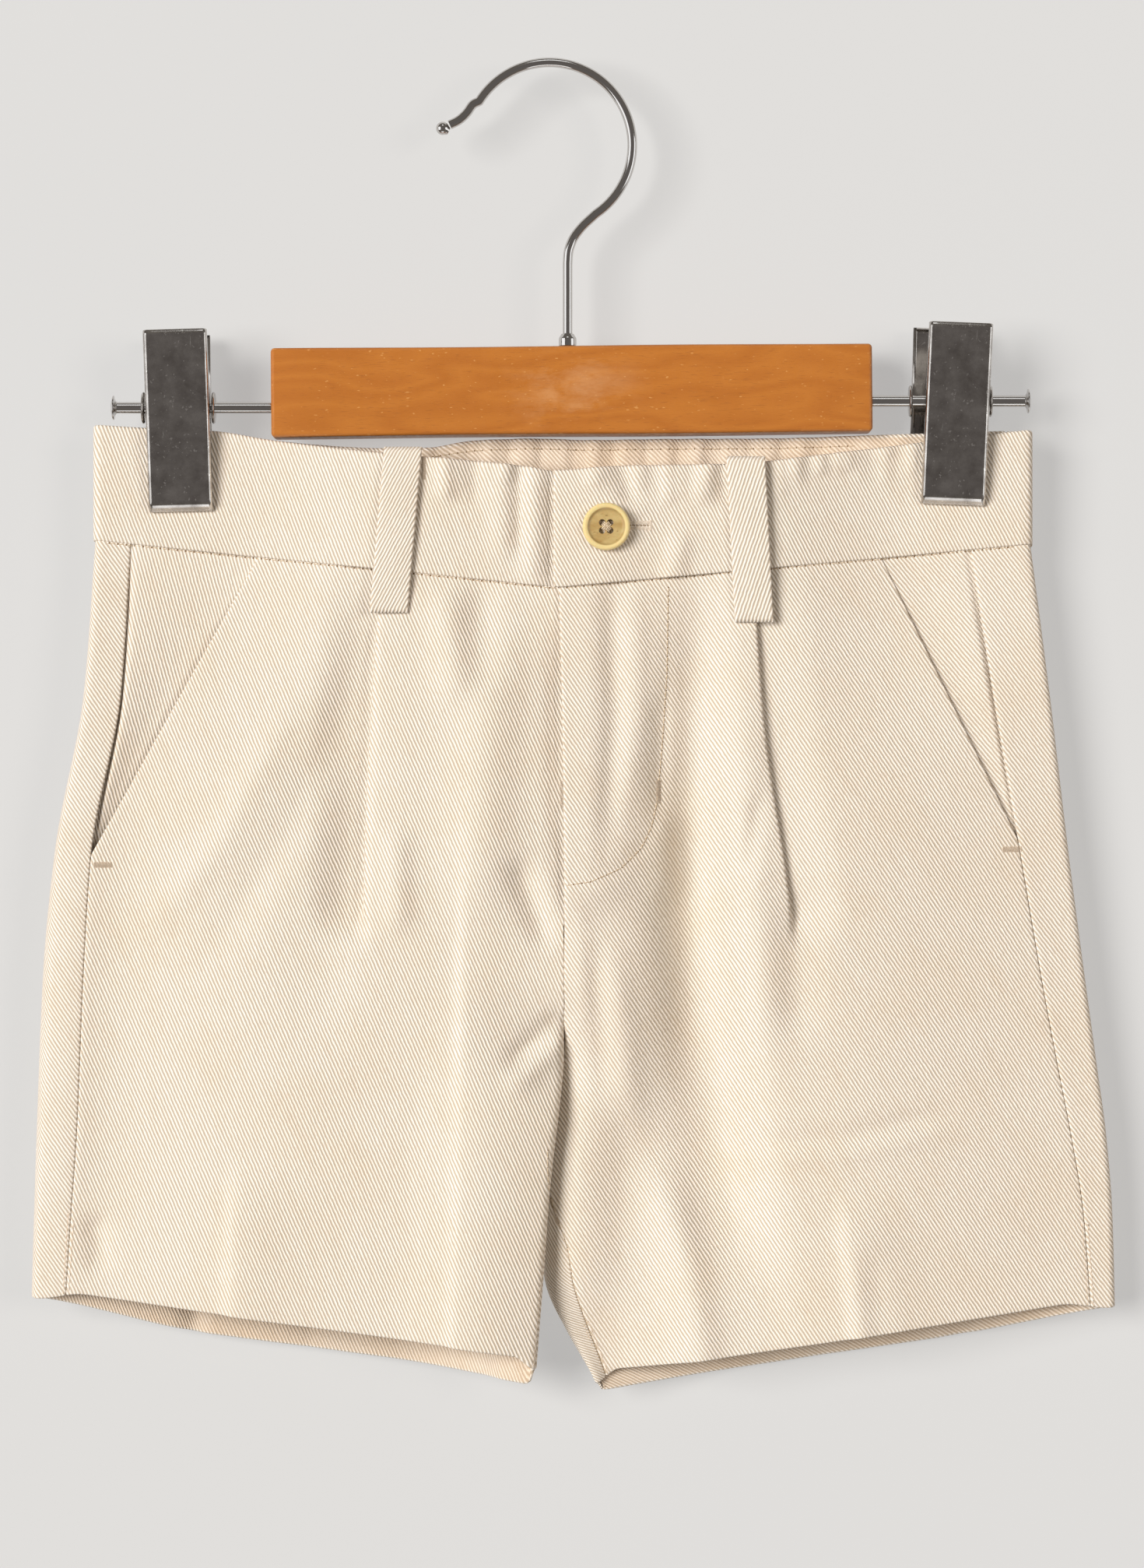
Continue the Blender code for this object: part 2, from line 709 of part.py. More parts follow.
def build_clothes(parts, seat):
    twill = material("cotton twill", PALE_TWILL, TWILL_ROUGHNESS)
    for side_name, rows in (("right", RIGHT_LEG), ("left", LEFT_LEG)):
        front = [front_row(rows, side_name, level) for level in FRONT_LEVELS]
        cloth("front_" + side_name, front, WALL, parts, seat, twill)
        back = [back_row(rows, side_name, level) for level in BACK_LEVELS]
        cloth("back_" + side_name, back, WALL, parts, seat, twill)
        facing = [facing_row(rows, side_name, level) for level in FACING_LEVELS[side_name]]
        cloth("pocket_facing_" + side_name, facing, WALL, parts, seat, twill)
        band = front_band_rows(side_name)
        cloth("waistband_front_" + side_name, band, BAND_WALL, parts, seat, twill)
    cloth("waistband_back", back_band_rows(), BAND_WALL, parts, seat, twill)
    for name, *sizes in LOOPS:
        cloth(name, loop_rows(*sizes), LOOP_WALL, parts, seat, twill)


def build_button(parts, cutters, seat):
    """A four-hole button with a raised rim, its holes cut through."""
    horn = material("horn-coloured plastic", HORN, HORN_ROUGHNESS)
    button = turned("button", BUTTON_SECTION, BUTTON_STEPS, parts, seat, horn)
    under = [BUTTON_X + side * BUTTON_SECTION[2][0] for side in (-1.0, 0.0, 1.0)]
    nearest = min(band_point(x, -1, 0.5).y - tab_lift(x) for x in under)
    button.location = Vector((BUTTON_X, nearest - BAND_WALL / 2 - GAP, BUTTON_Z)) * MM
    button.rotation_euler = (math.radians(90), 0.0, 0.0)
    low, high = HOLE_CUT
    section = ((0.0, low), (HOLE_RADIUS, low), (HOLE_RADIUS, high), (0.0, high))
    for index, degrees in enumerate(HOLE_DEGREES):
        angle = math.radians(degrees)
        hole = turned("hole_%d" % (index + 1), section, HOLE_STEPS, cutters, button, horn)
        hole.location = Vector((math.cos(angle), math.sin(angle), 0.0)) * HOLE_OFFSET * MM
        hole.hide_render = True
        hole.display_type = "WIRE"
        cut = button.modifiers.new("Hole %d" % (index + 1), "BOOLEAN")
        cut.operation = "DIFFERENCE"
        cut.solver = "EXACT"
        cut.object = hole


def build_bar(parts, seat):
    bpy.ops.mesh.primitive_cube_add(size=1.0)
    bar = bpy.context.active_object
    bpy.context.collection.objects.unlink(bar)
    bar.name = "bar"
    bar.data.name = "bar"
    place(bar, parts, seat, material("varnished beech", HONEY_WOOD, WOOD_ROUGHNESS))
    bar.scale = Vector((BAR_LENGTH, BAR_DEPTH, BAR_HEIGHT)) * MM
    bar.location = Vector((BAR_X, 0.0, BAR_Z)) * MM
    bar.rotation_euler = (0.0, -BAR_TILT, 0.0)
    bpy.context.view_layer.update()
    bar.data.transform(Matrix.Diagonal(bar.scale.to_4d()))
    bar.scale = (1.0, 1.0, 1.0)
    edges = bar.modifiers.new("Eased edges", "BEVEL")
    edges.width = BAR_EDGE * MM
    edges.segments = 2


def build_hook(parts, seat, chrome):
    """The wire hook, its ball tip and the collar it stands on."""
    top = BAR_Z + BAR_HEIGHT / 2
    arc = []
    for step in range(HOOK_STEPS + 1):
        angle = math.radians(mix(*HOOK_DEGREES, step / HOOK_STEPS))
        x = HOOK_ARC * math.cos(angle)
        arc.append((x, HOOK_WIRE - HOOK_ARC + HOOK_ARC * math.sin(angle)))
    shaft_x = HOOK_SHAFT[-1][0]
    route = HOOK_TIP + tuple(arc) + HOOK_SHAFT + ((shaft_x, top + COLLAR_HEIGHT + 2 * GAP),)
    data = bpy.data.curves.new("hook", "CURVE")
    data.dimensions = "3D"
    data.bevel_depth = HOOK_WIRE * MM
    data.bevel_resolution = 2
    data.use_fill_caps = True
    spline = data.splines.new("POLY")
    spline.points.add(len(route) - 1)
    for point, (x, z) in zip(spline.points, route):
        point.co = (x * MM, 0.0, z * MM, 1.0)
    place(bpy.data.objects.new("hook", data), parts, seat, chrome)

    mesh = bpy.data.meshes.new("hook_tip")
    ball = bmesh.new()
    bmesh.ops.create_uvsphere(ball, u_segments=12, v_segments=8, radius=HOOK_TIP_RADIUS * MM)
    ball.to_mesh(mesh)
    ball.free()
    tip = place(bpy.data.objects.new("hook_tip", mesh), parts, seat, chrome)
    along_tip = (Vector(HOOK_TIP[0]) - Vector(HOOK_TIP[1])).normalized()
    centre = Vector(HOOK_TIP[0]) + along_tip * (HOOK_TIP_RADIUS + GAP)
    tip.location = Vector((centre.x, 0.0, centre.y)) * MM

    profile = (
        (0.0, 0.0),
        (COLLAR_RADIUS, 0.0),
        (COLLAR_RADIUS, COLLAR_HEIGHT - COLLAR_EASE[1]),
        (COLLAR_RADIUS - COLLAR_EASE[0], COLLAR_HEIGHT),
        (0.0, COLLAR_HEIGHT),
    )
    collar = turned("collar", profile, COLLAR_STEPS, parts, seat, chrome)
    collar.location = Vector((shaft_x, 0.0, top + GAP)) * MM


def rod_z(x):
    """The rods lie on the bar's middle line, which leans a little."""
    return BAR_Z + ROD_DROP + math.tan(BAR_TILT) * (x - BAR_X)


def build_rods(parts, seat, chrome):
    for side_name, end_x in zip(("right", "left"), ROD_ENDS):
        side = math.copysign(1.0, end_x)
        start_x = BAR_X + side * (BAR_LENGTH / 2 + GAP)
        length = abs(end_x - start_x)
        profile = (
            (0.0, 0.0),
            (ROD_RADIUS, 0.0),
            (ROD_RADIUS, length - HEAD_THICK),
            (HEAD_RADIUS, length - HEAD_THICK),
            (HEAD_RADIUS, length - HEAD_EASE[1]),
            (HEAD_RADIUS - HEAD_EASE[0], length),
            (0.0, length),
        )
        rod = turned("rod_" + side_name, profile, ROD_STEPS, parts, seat, chrome)
        rod.location = Vector((start_x, 0.0, rod_z(0.5 * (start_x + end_x)))) * MM
        rod.rotation_euler = (0.0, side * math.radians(90), 0.0)


def ring(name, bore, radius, length, steps, parts, pivot, chrome):
    """A washer or sleeve about the pivot's X axis, centred on it."""
    profile = (
        (bore, -length / 2),
        (radius, -length / 2),
        (radius, length / 2),
        (bore, length / 2),
        (bore, -length / 2),
    )
    made = turned(name, profile, steps, parts, pivot, chrome)
    made.rotation_euler = (0.0, math.radians(90), 0.0)
    return made


def build_clips(parts, seat, chrome):
    for side_name, x, lean, rear_shift in CLIPS:
        pivot = bpy.data.objects.new("clip_pivot_" + side_name, None)
        parts.objects.link(pivot)
        pivot.parent = seat
        pivot.location = Vector((x, 0.0, rod_z(x))) * MM
        jaw_lean = (0.0, -math.radians(lean), 0.0)
        front = cloth("clip_front_" + side_name, clip_rows(), CLIP_SHEET, parts, pivot, chrome)
        front.rotation_euler = jaw_lean
        rear_rows = [[Vector((p.x - rear_shift, -p.y, p.z)) for p in row] for row in clip_rows()]
        rear = cloth("clip_rear_" + side_name, rear_rows, CLIP_SHEET, parts, pivot, chrome)
        rear.rotation_euler = jaw_lean
        bore = ROD_RADIUS + GAP
        inside = CLIP_WIDTH - CLIP_SHEET - 2 * GAP - rear_shift
        sleeve = (bore, SPRING_RADIUS, inside, SPRING_STEPS)
        spring = ring("spring_" + side_name, *sleeve, parts, pivot, chrome)
        spring.location.x = -rear_shift / 2 * MM
        outward = math.copysign(1.0, x)
        washer = (bore, EAR_RADIUS, EAR_THICK, EAR_STEPS)
        for end_name, side in (("outer", outward), ("inner", -outward)):
            ear = ring("ear_%s_%s" % (end_name, side_name), *washer, parts, pivot, chrome)
            reach = (CLIP_WIDTH + CLIP_SHEET + EAR_THICK) / 2 + GAP
            reach += rear_shift if side < 0 else 0.0
            ear.location.x = side * reach * MM


def main():
    for obj in list(bpy.data.objects):
        bpy.data.objects.remove(obj)
    parts = bpy.data.collections.new("bermuda shorts on a clip hanger")
    cutters = bpy.data.collections.new("cutters")
    cutters.hide_render = True
    bpy.context.scene.collection.children.link(parts)
    bpy.context.scene.collection.children.link(cutters)
    seat = bpy.data.objects.new("hook_seat", None)
    parts.objects.link(seat)
    chrome = material("chromed steel", CHROME, CHROME_ROUGHNESS, 1.0)
    build_clothes(parts, seat)
    build_button(parts, cutters, seat)
    build_bar(parts, seat)
    build_hook(parts, seat, chrome)
    build_rods(parts, seat, chrome)
    build_clips(parts, seat, chrome)


main()
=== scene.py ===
"""Child's bermuda shorts on a clip hanger: the shown model, its lights and its camera.

Lengths are in millimetres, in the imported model's frame: X to the viewer's right, Y away from
the viewer, Z up, and the origin where the hook rests. Right and left are the wearer's.
"""

import json
import math

import bmesh
import bpy
import numpy as np
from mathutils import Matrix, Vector
from mathutils.bvhtree import BVHTree

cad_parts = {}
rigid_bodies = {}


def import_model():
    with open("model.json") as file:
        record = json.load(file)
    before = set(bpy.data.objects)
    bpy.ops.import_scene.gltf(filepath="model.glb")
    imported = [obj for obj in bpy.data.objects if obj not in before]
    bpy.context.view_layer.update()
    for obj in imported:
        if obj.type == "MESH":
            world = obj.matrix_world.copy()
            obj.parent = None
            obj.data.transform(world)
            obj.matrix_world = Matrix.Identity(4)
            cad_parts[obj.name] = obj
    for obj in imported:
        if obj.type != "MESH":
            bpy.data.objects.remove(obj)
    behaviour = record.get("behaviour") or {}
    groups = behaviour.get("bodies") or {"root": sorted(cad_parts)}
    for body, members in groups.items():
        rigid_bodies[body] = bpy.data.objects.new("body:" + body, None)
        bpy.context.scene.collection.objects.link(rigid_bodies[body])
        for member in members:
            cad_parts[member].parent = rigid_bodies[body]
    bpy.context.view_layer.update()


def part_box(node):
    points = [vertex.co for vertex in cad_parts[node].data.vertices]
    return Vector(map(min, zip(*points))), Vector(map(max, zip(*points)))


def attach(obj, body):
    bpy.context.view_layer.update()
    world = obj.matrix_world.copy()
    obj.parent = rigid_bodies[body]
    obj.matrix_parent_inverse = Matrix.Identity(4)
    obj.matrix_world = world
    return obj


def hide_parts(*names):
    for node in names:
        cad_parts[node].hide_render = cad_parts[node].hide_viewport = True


bl_info = {
    "name": "Bermuda shorts on a clip hanger",
    "version": (1, 0, 0),
    "blender": (4, 5, 0),
    "location": "View3D > Sidebar > Shorts",
    "description": "Builds a child's pleated bermuda shorts clipped on a small wooden hanger",
    "category": "Add Mesh",
}

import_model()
MM = 0.001

SIDES = {"right": -1.0, "left": 1.0}

# The cloth's form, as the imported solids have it. A level runs from 0 at the waist seam to 1 at
# the hem, and a face is -1 on the front and 1 on the back.
# The gap between two sheets, how far apart two layers lie, the waistband's height, and the half
# thickness and the round of an outer fold
GAP = 0.3
LAYER = 1.3
BAND_HEIGHT = 32.0
EDGE_HALF = 1.6
EDGE_ROUND = 1.6
# How far from the outer fold, by face, and from the inner edge, on the front and on the back,
# the cloth comes to stand fully out; and the level from which it does so at the fold
FILL_FROM_FOLD = {-1: 76.0, 1: 52.0}
FILL_FROM_INNER = {"right": (34.0, 40.0), "left": (20.0, 40.0)}
FILL_LEVEL = 0.35
# The crotch's level and the height of its curve, the levels between which each leg closes to
# a tube, and how soon and how far the legs part
CROTCH = 0.574
CROTCH_CURVE = 0.03
LEG_CLOSING = (0.50, 0.66)
PARTING = 0.06
LEG_GAP = 0.15
# One leg hangs before the other at their inner edges: by how much, from which level and over
# how many, and how far from the edge
LEG_CROSS = {"right": 7.6, "left": 0.6}
CROSS_FROM = 0.54
CROSS_LEVELS = 0.15
CROSS_REACH = {"right": 40.0, "left": 30.0}
# How far from the outer fold and from the inner edge a hem comes to its full drop, by face,
# and the level at which the back has left the waist seam's line
RISE_FROM_FOLD = {-1: 15.0, 1: 48.0}
RISE_FROM_INNER = {-1: 6.0, 1: 2.0}
BACK_DROP_TO = 0.3
# Each row is a level, and then these; inseam is how far round from the inner tip the seam lies
LEG_COLUMNS = ("fold_x", "fold_z", "seam_x", "pleat_x", "inner_x", "inner_z", "inseam")
LEGS = {
    "right": (
        (0.00, -122.6, -128.5, -112.8, -44.9, 2.6, -141.5, 0.0),
        (0.20, -125.7, -169.1, -115.5, -47.9, 3.6, -183.3, 0.0),
        (0.41, -133.5, -211.7, -123.3, -49.5, 4.0, -227.0, 0.0),
        (0.574, -136.7, -244.9, -125.4, -49.7, 4.2, -261.4, 0.0),
        (0.78, -138.4, -286.6, -127.1, -50.0, 0.2, -304.3, 0.0),
        (0.90, -139.2, -311.4, -128.8, -50.0, -1.7, -329.6, 0.8),
        (1.00, -139.8, -332.0, -130.2, -50.0, -3.3, -350.1, 1.0),
    ),
    "left": (
        (0.00, 129.9, -129.5, 113.2, 54.6, 2.6, -141.5, 0.0),
        (0.20, 135.2, -170.6, 120.0, 57.4, 3.6, -183.3, 0.0),
        (0.41, 140.3, -213.5, 127.3, 63.6, 4.0, -227.0, 0.0),
        (0.574, 144.7, -247.0, 133.0, 67.0, 3.5, -261.4, 0.0),
        (0.68, 147.7, -269.0, 137.0, 67.0, -0.4, -283.2, 1.0),
        (0.78, 150.4, -289.2, 140.8, 67.0, -2.4, -305.2, 4.0),
        (0.88, 152.0, -309.5, 144.0, 67.0, -1.6, -326.0, 10.0),
        (1.00, 152.7, -334.6, 146.0, 67.0, 12.2, -355.4, 5.0),
    ),
}
# How many times further each leg's back hem drops
BACK_DROP = {"right": 1.8, "left": 0.95}
# Each row is a level, and then how far out and up the front and the back stand
BODY_COLUMNS = ("front", "back", "front_rise", "back_rise")
BODY = (
    (0.00, 8.0, 4.5, 0.0, 4.0),
    (0.20, 10.0, 9.0, 0.0, 3.0),
    (0.41, 11.0, 12.0, 0.0, 1.0),
    (0.574, 11.0, 11.0, 0.0, -1.0),
    (0.78, 10.0, 10.0, 1.5, -2.5),
    (1.00, 10.0, 9.0, 3.0, -2.6),
)
# The waistband's top edge, as x and z
FRONT_TOP = (
    (-122.0, -96.8), (-109.0, -97.6), (-90.7, -98.4), (-74.8, -101.0), (-45.2, -104.7),
    (-5.8, -108.4), (0.9, -109.6), (20.0, -108.3), (48.0, -107.8), (82.6, -103.9),
    (111.9, -100.1), (129.0, -98.2),
)
BACK_TOP = (
    (-122.0, -96.8), (-75.0, -101.0), (-46.0, -102.8), (-34.0, -102.7), (-20.0, -100.7),
    (-4.0, -100.2), (10.0, -100.6), (34.0, -100.3), (60.0, -100.2), (83.0, -99.6),
    (129.0, -98.2),
)
# Where the clips hold front and back together, and over what width the waist opens from there
FLAT_LEFT = -88.0
FLAT_RIGHT = 98.0
OPENING_OUT = 50.0
# Pocket mouths: the x of the top, and the level of the lower end
MOUTHS = {"right": (-78.8, 0.41), "left": (89.8, 0.38)}
# Pleats: how much cloth each takes in, the radius of its folds, the levels to which it stays
# folded and at which it lies flat, how far out the panel takes to sink under it, and the
# columns of a fold
PLEAT_INTAKE = 8.0
PLEAT_BEND = {"right": 0.95, "left": 0.6}
PLEAT_FOLDED_TO = 0.40
PLEAT_FLAT_AT = 0.50
PLEAT_RAMP = 16.0
PLEAT_STEPS = 6
# How much of their spacing layers keep in the waist seam, and down to which level
WAIST_PRESS = 0.4
WAIST_PRESS_TO = 0.1
# The fly: how far the right front runs under the left one, how much less its last columns do,
# and the levels between which that ends
FLY_UNDERLAP = 5.0
FLY_UNDERLAP_EASE = 0.6
FLY_UNDERLAP_FROM = 0.36
FLY_UNDERLAP_TO = 0.44
# How far the left front stands before the right one and over what width, and the levels
# between which it comes down
FLY_STAND = 1.9
FLY_RAISED = 6.5
FLY_BLEND = 14.0
FLY_FLAT_FROM = 0.385
FLY_FLAT_TO = 0.44
# The waistband's lap: the x of the tab's end, how far the right end runs under it, how far the
# tab stands out and over what width, and where the front band joins the back one
TAB_EDGE = 1.4
BAND_UNDERLAP = 8.0
TAB_STAND = 2.4
TAB_RAISED = 10.0
TAB_BLEND = 20.0
BAND_JOIN = 7.0
# The elastic's gathers across the back: how many, how deep, and down to which level
GATHERS = 20
GATHER_DEPTH = 0.5
GATHER_FADE = 0.14
# Pocket facings: how far they run under the front, the width over which they sink to their
# layer, how far they run under the back, their lower ends, and how far the mouths gape
FACING_HIDDEN = 9.0
FACING_RAMP = 13.0
FACING_UNDER_BACK = 4.0
FACING_END = {"right": 0.47, "left": 0.44}
MOUTH_GAPE = {"right": 1.7, "left": 0.0}
# Belt loops: name, x of the top and of the bottom, z of both, width, and front -1 or back 1
LOOPS = (
    ("belt_loop_front_right", -39.2, -43.1, -103.4, -147.9, 9.8, -1),
    ("belt_loop_front_left", 52.7, 55.0, -106.0, -150.4, 10.0, -1),
    ("belt_loop_back_right", -48.0, -48.0, -104.5, -143.5, 9.8, 1),
    ("belt_loop_back_left", 54.0, 54.0, -104.0, -142.5, 9.8, 1),
)
# How far a loop's middle stands above its ends and how evenly it bows, how far its ends lie off
# the cloth, the half thickness of its middle line, its cloth in metres, its rows, and the
# pieces that it lies on
LOOP_STAND = 0.95
LOOP_BOW = 0.7
LOOP_OFF = 0.5
LOOP_HALF = 0.35
LOOP_CLOTH = 0.0004
LOOP_ROWS = 36
UNDER_LOOPS = ("waistband_front", "front", "back")
# The waistband's two layers, in front of and behind its middle surface, and the shares of its
# height at which it starts and ends, on the front and on the back
BAND_OUT = 0.5
BAND_IN = 0.9
FRONT_BAND_ROWS = (0.02, 0.97)
BACK_BAND_ROWS = (0.02, 0.975)

# Stitching: the fly's outline, and bar tacks as x, z, width, height and whether the threads
# run across
FLY_ROUTE = (
    (32.0, -141.0), (31.6, -164.5), (30.3, -184.5), (28.9, -199.2), (27.6, -205.0),
    (24.8, -211.0), (19.0, -216.6), (11.0, -220.0), (4.2, -221.0),
)
TACKS = (
    (3.6, -196.6, 1.5, 7.0, True), (29.4, -195.9, 1.5, 6.0, True),
    (-120.3, -215.6, 4.6, 1.7, False), (124.8, -211.4, 5.0, 1.7, False),
)
# How far above the waist seam's line its stitches run, and how far apart two ends may lie
WAIST_ROW = 0.12
SAME_SHEET = 1.5
# How far below the back's top edge the casing's stitches run, the stretch of it, and the
# shorter one that shows on the inside
CASING_ROW = 2.7
CASING_SPAN = (-118, 126)
CASING_INSIDE_SPAN = (-45, 105)
# The levels at which the inseam shows on the left leg
INSEAM_LEVELS = np.arange(0.72, 1.0, 0.02)
# The one bar tack that shows beside a belt loop's top: x, z, width and height
LOOP_TACK = (-33.7, -109.0, 1.2, 6.0)
# The buttonhole's ends and its height
BUTTONHOLE = (9.5, 27.2, -124.4)

# Sections to turn about an axis, as radius and height
BUTTON_SECTION = (
    (0.0, 0.0), (5.2, 0.0), (6.4, 0.9), (6.4, 1.8), (5.9, 2.4), (5.1, 2.3), (4.4, 1.7),
    (0.0, 1.7),
)
BUTTON_HOLE_SECTION = (
    (0, -1.0), (0.82, -1.0), (0.82, 1.5), (1.0, 1.75), (1.0, 3.4), (0, 3.4),
)
# How far the holes lie from the button's middle, and the thread's sunk face behind its rim
BUTTON_HOLES_OUT = 1.5
BUTTON_THREAD_IN = 0.75

# Hanger: the bar, the rods and how far below its middle they run, the hook's wire and its arc,
# its ends as x and z, and the collar
BAR_SIZE = (162.0, 12.0, 23.8)
BAR_X = 6.0
BAR_Z = -87.7
BAR_TILT = math.radians(0.5)
BAR_EDGE = 1.1
ROD_RADIUS = 1.55
HEAD_RADIUS = 3.3
ROD_DROP = -3.5
HOOK_WIRE = 1.3
HOOK_ARC = 22.4
HOOK_DEGREES = (148.0, -56.0)
HOOK_TIP = ((-27.0, -15.6), (-24.6, -14.4), (-22.4, -12.4), (-20.6, -10.0))
HOOK_SHAFT = ((8.6, -43.4), (6.2, -46.8), (5.1, -50.2), (4.9, -53.0))
HOOK_TIP_RADIUS = 1.8
COLLAR_RADIUS = 2.4
COLLAR_HEIGHT = 3.4
# Clips: name, middle x, degrees from upright, and how far the rear jaw stands to the left
CLIPS = (("right", -100.1, 1.5, 0.4), ("left", 109.9, -2.2, 3.0))
CLIP_WIDTH = 16.4
CLIP_SHEET = 0.8
CLIP_CORNER = 0.8
# The height at which a jaw's lip starts to bite in
CLIP_LIP = -26.0
# Each row: height above the rod, the plate's depth, and how far its sides turn back
CLIP_PROFILE = (
    (20.2, -9.4, 1.6), (10.0, -8.3, 3.2), (3.0, -7.5, 5.2), (0.0, -7.2, 5.35),
    (-3.5, -6.9, 4.0), (-6.0, -6.7, 3.0), (-14.0, -6.1, 2.4), (-22.0, -5.5, 1.8),
    (-26.0, -5.0, 1.2), (-28.0, -3.15, 0.25),
)
# The clips' springs: turns, the coil's radius, the wire's, and the legs' reach out and up
COIL_TURNS = 6
COIL_RADIUS = 2.45
COIL_WIRE = 0.42
COIL_LEGS = (5.2, 9.0)

# Where the camera stands beside and below the hook's rest, in metres
CAMERA_X = 0.0061
CAMERA_Z = -0.1938

# How finely the shown cloth is divided: mm between columns and between rows
FINE = 1.25
ROW_STEP = 1.4
# The lengths that these divide: a panel's drop, its width outside the pleat and inside it, the
# strip that comes round from the side seam, and a facing's width
PANEL_DROP = 215.0
OUTER_SPAN = 62.0
INNER_SPAN = 48.0
STRIP_SPAN = 12.0
FACING_SPAN = 34.0
# How far round an outer fold's tip the columns are finer, on the front and on the back, and
# the last columns' distances from a seam's edge
FOLD_FRONT = 2.6
FOLD_BACK = 5.0
INNER_FINE = np.array([7.0, 6.0, 5.0, 4.2, 3.4, 2.7, 2.1, 1.5, 1.0])

# Cloth turned under at an edge: the fold's half thickness, how far two folds that meet in a seam
# press together, and how far the turnings run inside
ROLL = 0.3
SEAM_PRESSED = 0.12
SEAM_TURNING = 6.0
HEM_TURNING = 22.0
# Above the hem's turning the seams' turnings grow to their width over this height
HEM_FADE = 12.0
# How many rows of a hem are its turning, and how far a panel's added rows at the top go up
HEM_ROWS = 11
TUCKED_UP = (3.0, 3.0 * 0.6, 3.0 * 0.25)

# Degrees that each piece's twill lines fall towards the viewer's right, from level
WALES = {
    "front_right": 66.0, "front_left": 56.0, "back_right": 55.0, "back_left": 52.0,
    "pocket_facing_right": 74.0, "pocket_facing_left": 50.0,
    "waistband_front_right": 68.0, "waistband_front_left": 61.0, "waistband_back": 47.0,
    "belt_loop_front_right": 70.0, "belt_loop_front_left": 66.0,
    "belt_loop_back_right": 66.0, "belt_loop_back_left": 68.0,
}

# Folds in the hanging cloth. Each row: half width (or two, on the viewer's left and right of a
# fold that runs down), height out of the cloth (a trough is below 0), then x and z along it
RIGHT_FRONT_FOLDS = (
    ((2.5, 12.0), 1.4, (-124.0, -110.0), (-132.0, -213.0), (-140.0, -370.0)),
    (5.5, -0.45, (-50.0, -150.0), (-59.0, -183.0), (-70.0, -206.0), (-98.0, -252.0)),
    (4.5, 0.4, (-66.0, -166.0), (-88.0, -210.0), (-112.0, -238.0)),
    ((15.0, 9.0), -0.6, (-50.0, -160.0), (-56.5, -216.0), (-66.0, -275.0)),
    ((10.0, 1.0), -0.45, (-46.9, -140.0), (-48.2, -180.0), (-50.2, -240.0)),
    ((2.0, 12.0), 0.7, (-83.0, -290.0), (-84.9, -318.6), (-85.5, -368.0)),
    (3.5, -0.6, (-122.4, -308.0), (-120.9, -328.0)),
    ((1.6, 14.0), 0.8, (-21.7, -186.0), (-23.6, -280.7), (-28.0, -430.0)),
    ((28.0, 12.0), 0.9, (8.0, -240.0), (6.0, -310.0), (2.0, -360.0), (0.0, -430.0)),
    (9.0, 1.0, (-14.0, -140.0), (-17.5, -196.0), (-18.5, -240.0)),
    ((2.4, 6.0), -0.5, (2.2, -140.0), (2.0, -196.0), (3.6, -217.0), (4.6, -246.0)),
    (5.0, 0.8, (-28.0, -138.0), (-25.0, -176.0)),
    (4.5, -0.45, (-18.2, -134.0), (-17.0, -172.0)),
    (4.0, 0.6, (-41.3, -202.0), (-40.2, -237.0)),
    (3.5, -0.8, (-9.7, -212.0), (0.8, -240.0)),
    (3.0, -0.7, (-13.0, -271.0), (0.8, -259.0), (6.0, -254.0)),
    (3.5, 0.5, (-13.0, -278.0), (0.8, -264.4), (6.0, -260.0)),
)
LEFT_FRONT_FOLDS = (
    (1.5, -0.13, *FLY_ROUTE),
    (3.2, -0.5, (16.5, -130.0), (17.6, -175.6), (14.5, -224.0)),
    (3.5, 0.4, (22.5, -130.0), (23.5, -175.4), (20.0, -208.0)),
    (3.2, -0.4, (30.0, -166.0), (29.0, -206.0)),
    (4.0, 0.4, (32.0, -198.0), (30.7, -229.0)),
    (7.0, -1.1, (41.0, -118.0), (39.6, -160.0), (38.6, -192.3), (37.0, -230.0), (38.0, -290.0)),
    ((12.0, 8.0), -1.3, (41.0, -130.0), (39.0, -196.0), (43.0, -258.0),
     (48.0, -290.0), (56.0, -326.0), (64.0, -366.0)),
    ((15.0, 8.0), -2.8, (39.0, -176.0), (41.0, -232.0), (44.0, -262.0),
     (47.0, -296.0), (51.0, -335.0)),
    ((13.0, 20.0), -2.4, (24.0, -246.0), (21.0, -300.0), (20.0, -340.0), (24.0, -400.0)),
    ((5.0, 14.0), 0.7, (6.0, -256.0), (3.0, -300.0), (5.0, -340.0), (12.0, -390.0)),
    (7.0, 0.7, (51.0, -150.0), (52.4, -205.0), (56.0, -236.0), (59.0, -282.0)),
    (3.5, 0.3, (6.7, -215.0), (10.3, -259.7), (12.4, -284.0)),
    (4.0, 0.5, (16.0, -233.0), (20.8, -270.2), (24.0, -293.0)),
    (3.0, -0.3, (12.4, -232.0), (14.5, -284.0)),
    (6.0, 1.2, (28.0, -290.0), (36.5, -322.9), (43.0, -366.0)),
    (6.0, -0.4, (67.0, -222.0), (66.1, -268.0)),
    (2.5, -0.4, (56.6, -194.0), (52.4, -222.0)),
    (3.0, -0.3, (46.0, -290.5), (78.8, -289.2), (114.0, -281.0)),
    (3.0, 0.2, (46.0, -294.0), (78.8, -293.0), (114.0, -285.0)),
    ((2.0, 12.0), 0.7, (78.3, -300.0), (81.3, -325.0), (85.5, -366.0)),
    (3.5, -0.25, (86.1, -316.0), (89.8, -356.0)),
)
